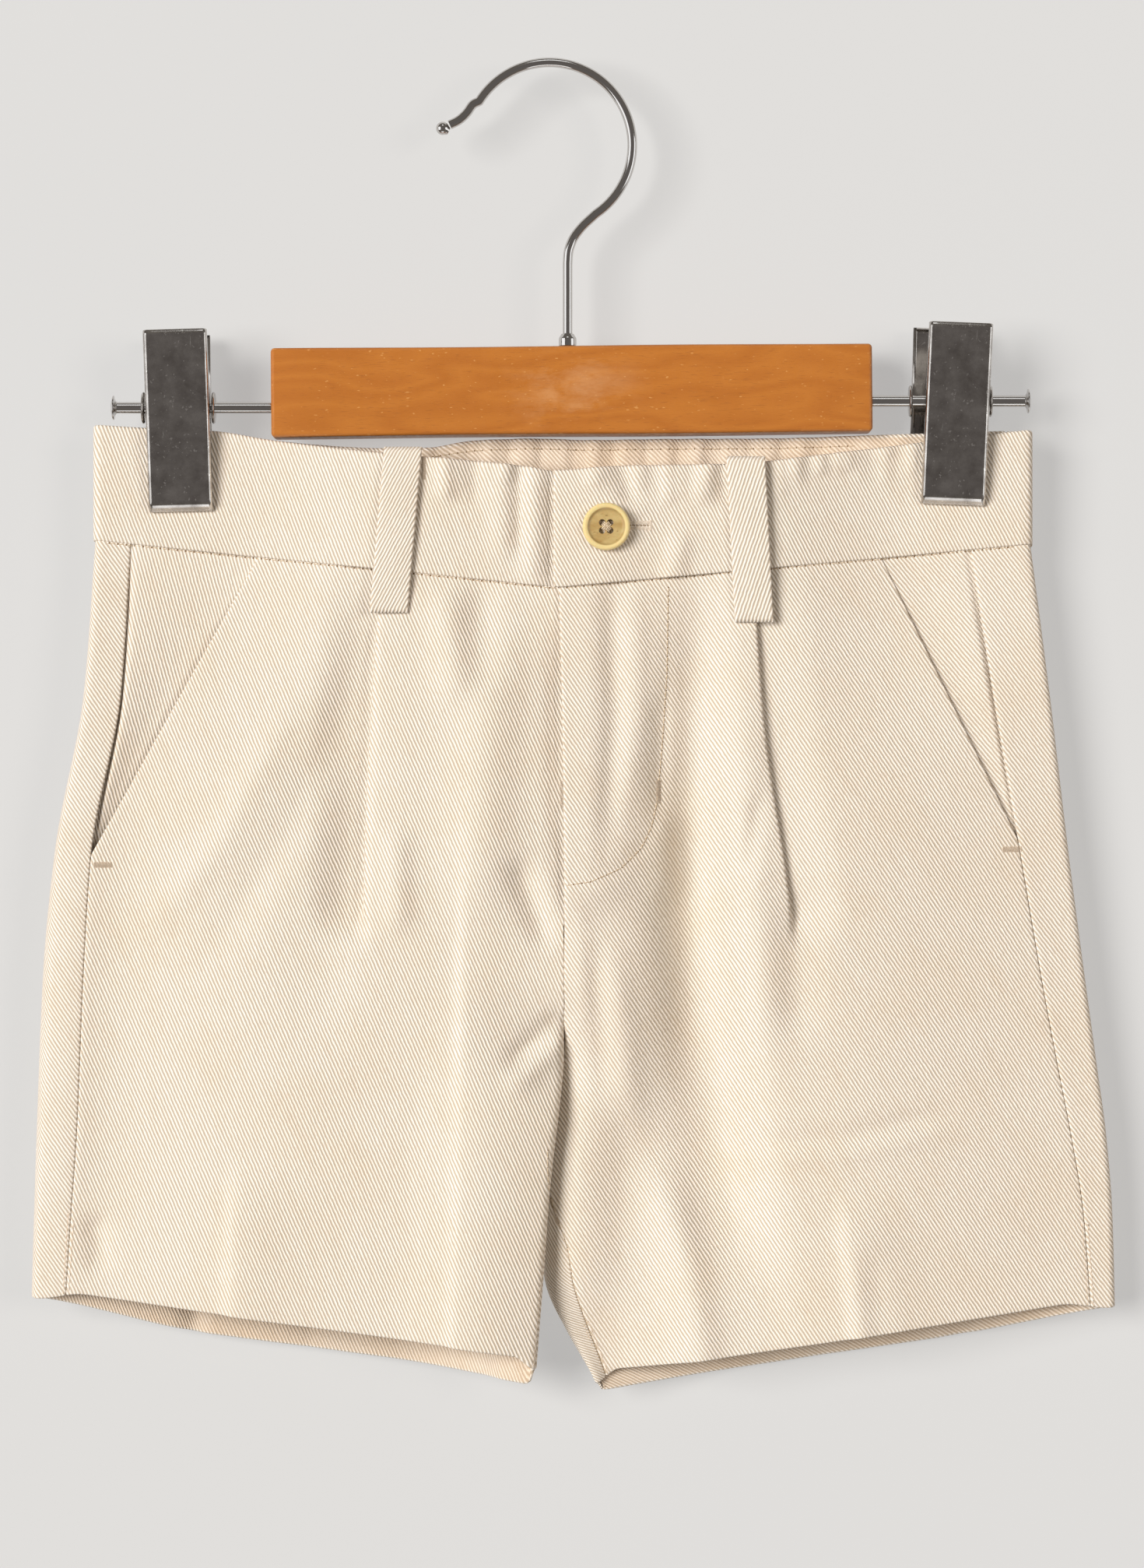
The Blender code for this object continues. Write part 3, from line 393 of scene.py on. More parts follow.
RIGHT_BAND_FOLDS = (
    (3.0, 0.4, (-12.8, -100.0), (-12.8, -138.0)),
    (2.0, -0.5, (-8.0, -100.0), (-8.0, -136.0)),
    (3.0, 0.5, (-4.6, -102.0), (-4.6, -146.0)),
    (1.8, -0.35, (0.4, -100.0), (0.4, -148.0)),
    (2.2, 0.4, (-28.0, -100.0), (-27.5, -120.0)),
    (2.0, -0.3, (-20.0, -100.0), (-20.0, -122.0)),
)
TAB_FOLDS = (
    (2.5, -0.5, (17.0, -103.0), (23.0, -121.0)),
    (2.5, 0.35, (12.0, -103.0), (12.0, -116.0)),
    (3.0, 0.5, (31.5, -146.0), (36.0, -124.0)),
    (2.5, 0.5, (43.0, -102.0), (40.5, -120.0)),
    (2.2, -0.4, (47.2, -102.0), (46.0, -122.0)),
    (2.2, 0.35, (66.0, -100.0), (66.0, -113.0)),
    (2.0, 0.35, (77.0, -98.0), (78.0, -111.0)),
    (2.0, 0.3, (89.5, -96.0), (90.5, -108.0)),
)
# The legs' pressed creases, which fall off steeply
CREASES = (
    (2.4, 0.45, (-62.0, -225.0), (-66.0, -362.0)),
    (2.4, 0.45, (70.0, -225.0), (74.0, -362.0)),
)
BACK_FOLDS = CREASES + (
    (12.0, 0.25, (-60.0, -200.0), (-66.0, -380.0)),
    (12.0, 0.25, (68.0, -200.0), (74.0, -380.0)),
    (4.0, 0.9, (-30.0, -128.0), (-33.0, -176.0)),
    (3.5, -0.8, (-22.0, -128.0), (-24.0, -168.0)),
    (4.5, 0.8, (-68.0, -128.0), (-74.0, -184.0)),
    (4.0, 0.9, (18.0, -128.0), (20.0, -172.0)),
    (3.5, -0.7, (27.0, -128.0), (30.0, -182.0)),
    (4.5, 0.9, (46.0, -146.0), (52.0, -190.0)),
    (4.0, 0.8, (74.0, -128.0), (82.0, -178.0)),
    (7.0, -1.4, (2.0, -205.0), (-22.0, -262.0), (-34.0, -300.0)),
    (5.5, 1.2, (2.0, -216.0), (-12.0, -262.0), (-19.0, -300.0)),
    (7.0, -1.4, (6.0, -205.0), (30.0, -262.0), (42.0, -304.0)),
    (5.5, 1.2, (6.0, -216.0), (22.0, -266.0), (30.0, -306.0)),
    (7.0, 0.7, (-104.0, -180.0), (-112.0, -262.0)),
    (7.0, 0.6, (112.0, -176.0), (122.0, -252.0)),
    (3.5, 0.7, (-94.0, -300.0), (-98.0, -352.0)),
    (4.0, 0.6, (108.0, -304.0), (112.0, -352.0)),
)
FRONT_FOLDS = {"right": RIGHT_FRONT_FOLDS, "left": LEFT_FRONT_FOLDS}
BAND_FOLDS = {"right": RIGHT_BAND_FOLDS, "left": TAB_FOLDS}
BACK_BAND_FOLDS = (
    (3.0, 0.5, (-66.0, -98.0), (-63.0, -134.0)),
    (3.0, 0.4, (74.0, -98.0), (71.0, -132.0)),
)
# Where the waistband's top edge puckers, by side, and how far apart
PUCKERED = {"right": (-36.0, -4.0), "left": (24.0, 104.0)}
PUCKER_PITCH = 6.1


class ShortsCloth(bpy.types.PropertyGroup):
    """Sizes and colours of the sewn cloth."""

    thickness: bpy.props.FloatProperty(
        name="Cloth thickness", description="Thickness of one layer of twill",
        default=0.00045, unit="LENGTH",
    )
    fold_strength: bpy.props.FloatProperty(
        name="Fold strength", description="Multiplies the height of every fold",
        default=2.7, subtype="FACTOR",
    )
    wale_spacing: bpy.props.FloatProperty(
        name="Wale spacing", description="Distance between two twill lines",
        default=0.0009, unit="LENGTH",
    )
    stitch_length: bpy.props.FloatProperty(
        name="Stitch length", description="Length of one stitch of the seams",
        default=0.0023, unit="LENGTH",
    )
    thread_radius: bpy.props.FloatProperty(
        name="Thread radius", description="Half the thickness of the sewing thread",
        default=0.00011, unit="LENGTH",
    )
    raised_colour: bpy.props.StringProperty(
        name="Raised yarn colour", description="Colour of the warp floats", default="#F3ECE3",
    )
    # Painted shade: the grooves between the twill lines are darker than the cloth's own colour
    groove_shade_colour: bpy.props.StringProperty(
        name="Sunk yarn colour", description="Colour between the twill lines", default="#BFB09C",
    )
    # The wrong side's colour, also laid as painted shade on the hem turnings and the back band's
    # inside
    inside_and_shade_colour: bpy.props.StringProperty(
        name="Inside colour", description="Colour of the cloth's wrong side", default="#EDDFCF",
    )
    thread_colour: bpy.props.StringProperty(
        name="Thread colour", description="Colour of the sewing thread", default="#DCCBB0",
    )


class HangerFinish(bpy.types.PropertyGroup):
    """Colours of the button and the hanger."""

    wood_colour: bpy.props.StringProperty(
        name="Wood colour", description="Colour of the varnished bar", default="#B16D2A",
    )
    grain_colour: bpy.props.StringProperty(
        name="Grain colour", description="Colour of the bar's late wood", default="#A96525",
    )
    chrome_colour: bpy.props.StringProperty(
        name="Chrome colour", description="Colour of the plating", default="#D6D2CD",
    )
    horn_colour: bpy.props.StringProperty(
        name="Button colour", description="Colour of the button's middle", default="#BDA672",
    )
    rim_colour: bpy.props.StringProperty(
        name="Button rim colour", description="Colour of the button's rim", default="#E0CC92",
    )


class StudioSetup(bpy.types.PropertyGroup):
    """The wall, the lights and the camera."""

    wall_glow: bpy.props.FloatProperty(
        name="Wall glow", description="Light that the lit wall gives off evenly", default=0.43,
    )
    wall_distance: bpy.props.FloatProperty(
        name="Wall distance", description="From the hanger's middle to the wall",
        default=0.0145, unit="LENGTH",
    )
    wall_colour: bpy.props.StringProperty(
        name="Wall colour", description="Colour of the painted wall", default="#868788",
    )
    key_power: bpy.props.FloatProperty(
        name="Key light", description="Power of the soft light from the upper left",
        default=1960.0, unit="POWER",
    )
    fill_power: bpy.props.FloatProperty(
        name="Fill light", description="Power of the soft light from the right",
        default=42.0, unit="POWER",
    )
    sky_strength: bpy.props.FloatProperty(
        name="Room light", description="Strength of the light from all round", default=0.16,
    )
    camera_distance: bpy.props.FloatProperty(
        name="Camera distance", description="From the camera to the garment",
        default=1.2, unit="LENGTH",
    )
    lens: bpy.props.FloatProperty(
        name="Lens", description="Focal length", default=101.9, unit="CAMERA",
    )


def smooth(value):
    """0 to 1 with level ends, as value runs from 0 to 1."""
    value = np.clip(value, 0.0, 1.0)
    return value * value * (3.0 - 2.0 * value)


def mix(start, end, share):
    """The value at this share of the way from start to end."""
    return start + (end - start) * share


def along(rows, position, column):
    """A column of a table, read between its rows on a curve with no overshoot."""
    at = np.array([row[0] for row in rows])
    values = np.array([row[column] for row in rows])
    steps = np.diff(values) / np.diff(at)
    same_way = steps[:-1] * steps[1:] > 0
    total = np.where(same_way, steps[:-1] + steps[1:], 1.0)
    inner = np.where(same_way, 2 * steps[:-1] * steps[1:] / total, 0.0)
    slopes = np.concatenate([[steps[0]], inner, [steps[-1]]])
    position = np.clip(position, at[0], at[-1])
    index = np.clip(np.searchsorted(at, position, side="right") - 1, 0, len(at) - 2)
    run = at[index + 1] - at[index]
    t = (position - at[index]) / run
    return (
        (1 + 2 * t) * (1 - t) ** 2 * values[index]
        + t * (1 - t) ** 2 * run * slopes[index]
        + t * t * (3 - 2 * t) * values[index + 1]
        - t * t * (1 - t) * run * slopes[index + 1]
    )


LEGS_MADE = {}


def leg_at(side_name, level):
    """A leg's sizes at one level, by name, worked out the first time they are asked for."""
    key = (side_name, round(float(level), 6))
    if key not in LEGS_MADE:
        leg = {"name": side_name, "level": float(level), "side": SIDES[side_name], "lines": {}}
        for rows, columns in ((LEGS[side_name], LEG_COLUMNS), (BODY, BODY_COLUMNS)):
            for i, name in enumerate(columns, 1):
                leg[name] = float(along(rows, level, i))
        LEGS_MADE[key] = leg
    return LEGS_MADE[key]


def between_clips(x):
    """0 where the clips hold front and back together, 1 in the open middle of the waist."""
    return smooth((x - FLAT_LEFT) / OPENING_OUT) * smooth((FLAT_RIGHT - x) / OPENING_OUT)


def edge_cap(distance):
    """The round of a fold, 0 at its tip and 1 where the wall runs flat."""
    inside = 1.0 - np.clip(distance, 0.0, EDGE_ROUND) / EDGE_ROUND
    return np.sqrt(np.maximum(0.0, 1.0 - inside**2))


def gather(x, level):
    """The elastic's gathers across the back, uneven, dying away below the waist seam."""
    width = FLAT_RIGHT - FLAT_LEFT
    turn = 2 * math.pi * GATHERS * (x - FLAT_LEFT) / width
    wave = np.sin(turn) * (1.0 + 0.35 * np.sin(turn * 0.37 + 1.0))
    wave += 0.25 * np.sin(turn * 2.3 + 0.6)
    return GATHER_DEPTH * wave * between_clips(x) * (1.0 - smooth(level / GATHER_FADE))


def wall(leg, face, share):
    """Points of the cloth's middle surface at one level.

    face is -1 on the front and 1 on the back; share runs from the outer fold to the inner edge.
    """
    share = np.asarray(share, float)
    side, level = leg["side"], leg["level"]
    waist = leg_at(leg["name"], 0.0)
    opened = math.sqrt(min(1.0, max(0.0, (CROTCH - level) / CROTCH_CURVE)))
    inner_gap = GAP / 2 + LEG_GAP * min(1.0, (1.0 - opened) / PARTING)
    inner_x = leg["inner_x"] + side * inner_gap
    x = mix(leg["fold_x"], inner_x, share)
    z = mix(leg["fold_z"], leg["inner_z"], share)
    from_fold = np.abs(x - leg["fold_x"])
    from_inner = np.maximum(0.0, (x - inner_x) * side)
    waist_x = mix(waist["fold_x"], waist["inner_x"], share)
    fill = np.minimum(1.0, from_fold / FILL_FROM_FOLD[face])
    spread = mix(
        between_clips(waist_x),
        mix(smooth(fill), np.sin(math.pi / 2 * fill), 0.4),
        smooth(level / FILL_LEVEL),
    )
    inner_run = FILL_FROM_INNER[leg["name"]][face > 0]
    closing = np.sin(math.pi / 2 * np.minimum(1.0, from_inner / inner_run))
    shut = smooth((level - LEG_CLOSING[0]) / (LEG_CLOSING[1] - LEG_CLOSING[0]))
    spread = spread * (1.0 - shut * (1.0 - closing))
    half = EDGE_HALF + ((leg["front"] if face < 0 else leg["back"]) - EDGE_HALF) * spread
    half = half * edge_cap(from_fold) * (opened + (1.0 - opened) * edge_cap(from_inner))
    y = face * np.maximum(half, GAP / 2)
    near = 1.0 - smooth(from_inner / CROSS_REACH[leg["name"]])
    crossing = smooth((level - CROSS_FROM) / CROSS_LEVELS) * near
    y = y + side * LEG_CROSS[leg["name"]] * crossing
    inner_reach = opened + (1.0 - opened) * smooth(from_inner / RISE_FROM_INNER[face])
    reach = smooth(from_fold / RISE_FROM_FOLD[face]) * inner_reach
    low = leg["back_rise"] * (BACK_DROP[leg["name"]] if leg["back_rise"] < 0 else 1.0)
    rise = (leg["front_rise"] if face < 0 else low) * reach
    if face > 0:
        waist_z = mix(waist["fold_z"], waist["inner_z"], share)
        at_waist = along(BACK_TOP, waist_x, 1) - BAND_HEIGHT - waist_z
        rise = mix(at_waist, rise, smooth(level / BACK_DROP_TO))
        y = y + gather(waist_x, level)
    return np.stack([x, y, z + rise], axis=-1)


def share_at(leg, x):
    """The share of the way from the outer fold to the inner edge that has this x."""
    return (x - leg["fold_x"]) / (leg["inner_x"] - leg["fold_x"])


def wall_line(leg, face):
    """The middle line of one face at one level, from the outer fold to the inner edge."""
    if face not in leg["lines"]:
        width = abs(leg["inner_x"] - leg["fold_x"])
        bends = EDGE_ROUND * (1.0 - np.cos(np.radians(np.arange(0, 90, 7.5)))) / width
        low = EDGE_ROUND / width
        shares = np.concatenate([bends, np.linspace(low, 1.0 - low, 121), 1.0 - bends[::-1]])
        leg["lines"][face] = wall(leg, face, shares)
    return leg["lines"][face]


def lengths(points):
    """How far along a line of points each of them lies."""
    return np.concatenate([[0.0], np.cumsum(np.linalg.norm(np.diff(points, axis=0), axis=1))])


def at_length(points, where, distance):
    """Points of a line at these distances along it."""
    return np.stack([np.interp(distance, where, points[:, k]) for k in range(3)], axis=-1)


def round_edge(leg, face, edge, distance):
    """Points this far round from a fold's tip on one face, or past it if below 0."""
    near, far = wall_line(leg, face), wall_line(leg, -face)
    if edge == "inner":
        near, far = near[::-1], far[::-1]
    path = np.concatenate([far[::-1], near])
    where = lengths(path)
    return at_length(path, where - where[len(far)], distance)


def fly_lift(leg, x):
    """How far the left front stands forward where it laps over the right one."""
    if leg["side"] < 0:
        return 0.0 * x
    fading = smooth((leg["level"] - FLY_FLAT_FROM) / (FLY_FLAT_TO - FLY_FLAT_FROM))
    from_fly = np.abs(x - leg["inner_x"])
    return FLY_STAND * (1.0 - smooth((from_fly - FLY_RAISED) / FLY_BLEND)) * (1.0 - fading)


def front_base(leg, x):
    """Points of the front at one level, standing forward where the fly laps."""
    points = wall(leg, -1, share_at(leg, x))
    points[..., 1] -= fly_lift(leg, x)
    return points


def edge_back(thickness):
    """How far a sheet's last column stops short of its edge, which its turning then fills."""
    return ROLL + thickness / 2 - SEAM_PRESSED


def outer_start(leg):
    """Where a front panel starts: on the pocket mouth, and below it on the side seam."""
    mouth_x, mouth_end = MOUTHS[leg["name"]]
    if leg["level"] >= mouth_end:
        return leg["seam_x"]
    end_x = leg_at(leg["name"], mouth_end)["seam_x"]
    return mix(mouth_x, end_x, leg["level"] / mouth_end)


def pressed_at_waist(level):
    """How much of their spacing layers keep, where the waist seam holds them together."""
    return WAIST_PRESS + (1.0 - WAIST_PRESS) * float(smooth(level / WAIST_PRESS_TO))


def pleat_profile(intake, turn, radius):
    """The pleat seen from below: its steps in x and y from the first point of its fold."""
    points = [np.zeros(2)]
    for bend in ("under", "over"):
        for step in range(PLEAT_STEPS):
            share = (step + 0.5) / PLEAT_STEPS
            angle = turn * (share if bend == "under" else 1.0 - share)
            length = radius * math.pi / PLEAT_STEPS
            points.append(points[-1] + length * np.array([math.cos(angle), -math.sin(angle)]))
        if bend == "under":
            step = intake / 4 * np.array([math.cos(turn), -math.sin(turn)])
            for _ in range(4):
                points.append(points[-1] + step)
    return np.array(points)


def even_shares(length, step=FINE, ends=True):
    """Even shares from 0 to 1 that divide a length into pieces no longer than step."""
    count = max(2, int(math.ceil(abs(length) / step)))
    return np.linspace(0.0, 1.0, count + 1)[: None if ends else -1]


def levels_of(end=1.0):
    """The levels of a panel's rows, from the waist seam to its end."""
    return np.round(end * even_shares(PANEL_DROP * end, ROW_STEP), 5)


def front_panel(side_name, thickness):
    """The rows of a front panel, from the pocket mouth or side seam to the fly or inseam."""
    back = edge_back(thickness)
    rows = []
    for level in levels_of():
        leg = leg_at(side_name, level)
        side = leg["side"]
        folded = max(0.0, 1.0 - level / PLEAT_FOLDED_TO)
        fading = smooth((level - PLEAT_FOLDED_TO) / (PLEAT_FLAT_AT - PLEAT_FOLDED_TO))
        bend = PLEAT_BEND[side_name] * pressed_at_waist(level)
        profile = pleat_profile(PLEAT_INTAKE * folded + 0.4, math.pi * (1.0 - fading), bend)
        sunk = -profile[-1, 1]
        first_x = leg["pleat_x"] + side * profile[PLEAT_STEPS + 1 :, 0].min()
        start_x = outer_start(leg) - side * back
        x = mix(start_x, first_x, even_shares(OUTER_SPAN, ends=False))
        outer = front_base(leg, x)
        beside = np.maximum(0.0, (x - leg["pleat_x"]) * side)
        outer[:, 1] += sunk * (1.0 - smooth(beside / PLEAT_RAMP))
        pleat = front_base(leg, first_x - side * profile[:, 0])
        pleat[:, 1] += sunk + profile[:, 1]
        offsets = np.append(INNER_FINE, back)
        last = round_edge(leg, -1, "inner", leg["inseam"] + offsets)
        last[:, 1] -= fly_lift(leg, last[:, 0])
        if side_name == "right":
            fading = (level - FLY_UNDERLAP_FROM) / (FLY_UNDERLAP_TO - FLY_UNDERLAP_FROM)
            reach = 1.0 - FLY_UNDERLAP_EASE * offsets / offsets[0]
            last[:, 0] += FLY_UNDERLAP * reach * (1.0 - smooth(fading))
        x = mix(pleat[-1, 0], last[0, 0], even_shares(INNER_SPAN)[1:-1])
        rows.append(np.concatenate([outer, pleat, front_base(leg, x), last]))
    return np.array(rows)


def back_panel(side_name, thickness):
    """The rows of a back panel, from the side seam round the outer fold to the inseam."""
    back = edge_back(thickness)
    waist = leg_at(side_name, 0.0)
    width = abs(waist["inner_x"] - waist["fold_x"])
    middle = mix(6.0 / width, 1.0 - 7.6 / width, even_shares(width))
    even = np.linspace(0, 1, 9)
    turn = np.concatenate([-FOLD_FRONT * even[::-1][:-1], FOLD_BACK * even])
    rows = []
    for level in levels_of():
        leg = leg_at(side_name, level)
        far = wall_line(leg, -1)
        where = lengths(far)
        seam_x = leg["seam_x"] + leg["side"] * back
        reach = np.interp(-leg["side"] * seam_x, -leg["side"] * far[:, 0], where)
        strip = -mix(reach, FOLD_FRONT, even_shares(STRIP_SPAN, ends=False))
        outer = round_edge(leg, 1, "outer", np.concatenate([strip, turn]))
        offsets = np.append(INNER_FINE, back)
        reach = leg["inseam"] * (INNER_FINE[0] - offsets) / (INNER_FINE[0] - back)
        inner = round_edge(leg, 1, "inner", offsets - reach)
        rows.append(np.concatenate([outer, wall(leg, 1, middle), inner]))
    return np.array(rows)


def facing_panel(side_name):
    """The rows of a pocket's facing, from the side seam to under the front panel."""
    rows = []
    for level in levels_of(FACING_END[side_name]):
        leg = leg_at(side_name, level)
        side, seam_x, mouth_x = leg["side"], leg["seam_x"], outer_start(leg)
        shown = max(abs(mouth_x - seam_x), 0.5)
        at_seam = LAYER * (1.0 - min(1.0, shown / FACING_RAMP))
        x = np.concatenate([
            seam_x + side * FACING_UNDER_BACK * np.linspace(1.0, 0.1, 6),
            mix(seam_x, mouth_x, even_shares(FACING_SPAN, ends=False)),
            mouth_x - side * FACING_HIDDEN * np.linspace(0.0, 1.0, 7),
        ])
        points = front_base(leg, x)
        inside = (seam_x - x) * side
        depth = mix(at_seam, LAYER, smooth(inside / (0.8 * shown)))
        depth = np.where(inside < 1.2, mix(LAYER, depth, smooth(inside / 1.2)), depth)
        gape = MOUTH_GAPE[side_name] * math.sin(math.pi * min(1.0, level / MOUTHS[side_name][1]))
        depth = depth + gape * np.clip(inside / shown, 0.0, 1.0) ** 2
        points[:, 1] += depth * pressed_at_waist(level)
        rows.append(points)
    return np.array(rows)


def band_rows(seam, low, high):
    """Rows of the waistband above points of its seam, with their heights between low and high."""
    on_back = along(BACK_TOP, seam[:, 0], 1)
    top = np.where(seam[:, 1] > 0, on_back, along(FRONT_TOP, seam[:, 0], 1))
    rows = []
    for share in mix(low, high, even_shares(BAND_HEIGHT, ROW_STEP)):
        row = seam.copy()
        row[:, 2] = mix(seam[:, 2] + GAP, top, share)
        rows.append(row)
    return np.array(rows[::-1])


def tab_lift(x):
    """How far the left end of the band stands forward where it laps over the right end."""
    return TAB_STAND * (1.0 - smooth((x - TAB_EDGE - TAB_RAISED) / TAB_BLEND))


def front_band(side_name, thickness):
    """The rows of a front band from its join on the back, round the fold, to its end."""
    leg = leg_at(side_name, 0.0)
    side = leg["side"]
    turn = np.concatenate([
        np.linspace(BAND_JOIN - 0.5, FOLD_FRONT, 5)[:-1], np.linspace(FOLD_FRONT, -FOLD_FRONT, 15),
    ])
    seam = round_edge(leg, 1, "outer", turn)
    end_x = TAB_EDGE + (BAND_UNDERLAP if side < 0 else edge_back(thickness))
    x = mix(seam[-1, 0], end_x, even_shares(end_x - seam[-1, 0])[1:])
    front = waist_seam(x, -1)
    if side > 0:
        front[:, 1] -= tab_lift(x)
    return band_rows(np.concatenate([seam, front]), *FRONT_BAND_ROWS)


def waist_seam(places, face):
    """Points of the waist seam on one face at these places across both legs."""
    middle = leg_at("right", 0.0)["inner_x"]
    legs = [leg_at("right" if x < middle else "left", 0.0) for x in places]
    return np.array([wall(leg, face, share_at(leg, x)) for leg, x in zip(legs, places)])


def back_band():
    """The rows of the back band, between its joins with the two front bands."""
    right, left = (
        round_edge(leg_at(side_name, 0.0), 1, "outer", BAND_JOIN + GAP + 0.5)[0]
        for side_name in SIDES
    )
    x = mix(right, left, even_shares(left - right, FINE * 0.8))
    return band_rows(waist_seam(x, 1), *BACK_BAND_ROWS)


def lift(points, folds):
    """How far folds raise the cloth at each point, above 0 for a ridge and below for a trough."""
    place = points[..., (0, 2)]
    total = np.zeros(place.shape[:-1])
    for fold in folds:
        width, height = fold[:2]
        route = np.array(fold[2:])
        steps = np.linalg.norm(np.diff(route, axis=0), axis=1)
        before = np.concatenate([[0.0], np.cumsum(steps)])
        nearest = np.full(total.shape, np.inf)
        share, side = np.zeros(total.shape), np.zeros(total.shape)
        for i, step in enumerate(steps):
            direction = (route[i + 1] - route[i]) / step
            reach = np.clip((place - route[i]) @ direction, 0.0, step)
            offset = place - route[i] - reach[..., None] * direction
            away = np.linalg.norm(offset, axis=-1)
            closer = away < nearest
            nearest = np.where(closer, away, nearest)
            turn = direction[0] * offset[..., 1] - direction[1] * offset[..., 0]
            side = np.where(closer, turn, side)
            share = np.where(closer, (before[i] + reach) / before[-1], share)
        fading = smooth(share / 0.3) * smooth((1.0 - share) / 0.3)
        if isinstance(width, tuple):
            width = np.where(side > 0, width[1], width[0])
        profile = np.exp(-nearest / width if fold in CREASES else -((nearest / width) ** 2))
        total += height * profile * fading
    return total


def folded(points, front_folds, back_folds=()):
    """The points with their folds raised, on the front towards the viewer and on the back away."""
    strength = bpy.context.scene.shorts_cloth.fold_strength
    points = points.copy()
    side = smooth(np.abs(points[..., 1]) / 3.0) * np.sign(points[..., 1])
    for face, folds in ((-1, front_folds), (1, back_folds)):
        if folds:
            weight = np.where(side * face > 0, np.abs(side), 0.0)
            points[..., 1] += face * strength * weight * lift(points, folds)
    return points


def outward(points, sign):
    """The cloth's normals at a grid of points; sign turns them all over."""
    normals = np.cross(np.gradient(points, axis=1), np.gradient(points, axis=0))
    size = np.linalg.norm(normals, axis=-1, keepdims=True)
    return sign * normals / np.maximum(size, 1e-9)


def run_along(points):
    """How far along its row each point of a grid lies."""
    steps = np.linalg.norm(np.diff(points, axis=1), axis=-1)
    return np.concatenate([np.zeros((len(points), 1)), np.cumsum(steps, axis=1)], axis=1)


def laid_out(points, side, anchor):
    """Where each point lies on the flat cloth: along its row, and its height.

    The front panels' places are read straight from the front, so that the weave runs straight
    on either side of a pleat.
    """
    if anchor == "front":
        return points[..., (0, 2)].copy()
    run = run_along(points)
    if anchor == "end":
        run = run - run[:, -1:]
        return np.stack([points[:, -1:, 0] - side * run, points[..., 2]], axis=-1)
    return np.stack([points[:, :1, 0] + side * run, points[..., 2]], axis=-1)


def turned(points, flat, normals, edge, depth, fade=None):
    """The grid with the cloth rolled over along one edge, and turned under as far as depth says.

    A fade makes the turning shorter, row by row.
    """
    swap = edge in ("top", "bottom")
    first = edge in ("start", "top")
    if swap:
        points, flat, normals = (np.swapaxes(a, 0, 1) for a in (points, flat, normals))
    if not first:
        points, flat, normals = (a[:, ::-1] for a in (points, flat, normals))
    tip, beyond = points[:, 0], points[:, 0] - points[:, 1]
    normal = normals[:, 0]
    beyond = beyond - normal * np.sum(beyond * normal, axis=-1, keepdims=True)
    beyond /= np.maximum(np.linalg.norm(beyond, axis=-1, keepdims=True), 1e-9)
    flat_out = flat[:, 0] - flat[:, 1]
    flat_out /= np.maximum(np.linalg.norm(flat_out, axis=-1, keepdims=True), 1e-9)
    if swap:
        flat_out[:] = np.median(flat_out, axis=0)
    reach = np.full(len(points), depth) if fade is None else np.maximum(depth * fade, 0.4)
    extra, extra_flat = [], []
    if depth > 0.0:
        where = run_along(points)
        under = points - 2.0 * ROLL * normals
        count = max(3, int(depth / 2.0))
        for i in range(count, 0, -1):
            wanted = reach * i / count
            row = [at_length(under[j], where[j], wanted[j]) for j in range(len(points))]
            extra.append(np.array(row))
            extra_flat.append(flat[:, 0] + flat_out * (math.pi * ROLL + wanted)[:, None])
    for degrees in range(180 if depth > 0.0 else 90, 0, -30):
        angle = math.radians(degrees)
        bend = ROLL * (math.sin(angle) * beyond - (1.0 - math.cos(angle)) * normal)
        extra.append(tip + bend)
        extra_flat.append(flat[:, 0] + flat_out * ROLL * angle)
    points = np.concatenate([np.stack(extra, axis=1), points], axis=1)
    flat = np.concatenate([np.stack(extra_flat, axis=1), flat], axis=1)
    if not first:
        points, flat = points[:, ::-1], flat[:, ::-1]
    if swap:
        points, flat = np.swapaxes(points, 0, 1), np.swapaxes(flat, 0, 1)
    return points, flat


def linear(colour):
    """An sRGB hex colour as the linear values that nodes take."""
    values = [int(colour[i : i + 2], 16) / 255.0 for i in (1, 3, 5)]
    values = [v / 12.92 if v <= 0.04045 else ((v + 0.055) / 1.055) ** 2.4 for v in values]
    return (*values, 1.0)


def node(tree, kind, values=(), out=0):
    """Adds a node and gives one of its outputs.

    Values go by attribute name, or by input name or number. Another node's output is linked,
    and a hex colour is made linear.
    """
    made = tree.nodes.new("ShaderNode" + kind)
    for name, value in dict(values).items():
        if isinstance(value, bpy.types.NodeSocket):
            tree.links.new(value, made.inputs[name])
        elif isinstance(name, str) and hasattr(made, name):
            setattr(made, name, value)
        else:
            is_colour = isinstance(value, str)
            made.inputs[name].default_value = linear(value) if is_colour else value
    return made.outputs[out]


def grain(tree, vector, stretch, detail=2.0, roughness=0.55):
    """A noise drawn out along some directions; stretch is how often it repeats along each."""
    drawn = node(tree, "Mapping", {"Vector": vector, "Scale": stretch})
    values = {"Vector": drawn, "Scale": 1.0, "Detail": detail, "Roughness": roughness}
    return node(tree, "TexNoise", values)


def laid_over(tree, colour, other, pattern, low, high, most=1.0, blend="MIX"):
    """A colour with another laid over it where a pattern rises from low to high."""
    amount = node(tree, "MapRange", {
        "Value": pattern, "From Min": low, "From Max": high, "To Max": most,
    })
    values = {"data_type": "RGBA", "blend_type": blend, 0: amount, 6: colour, 7: other}
    return node(tree, "Mix", values, 2)


def patches(tree, scale, detail=3.0, roughness=0.55):
    """A noise in the piece's own space, of which so many patches go to a metre."""
    values = {"Scale": scale, "Detail": detail, "Roughness": roughness}
    return node(tree, "TexNoise", {"Vector": node(tree, "TexCoord", out="Object"), **values})


def mottled(tree, scale, first, second, detail=2.0):
    """Two colours in the patches of a noise."""
    values = {"data_type": "RGBA", 0: patches(tree, scale, detail), 6: first, 7: second}
    return node(tree, "Mix", values, 2)


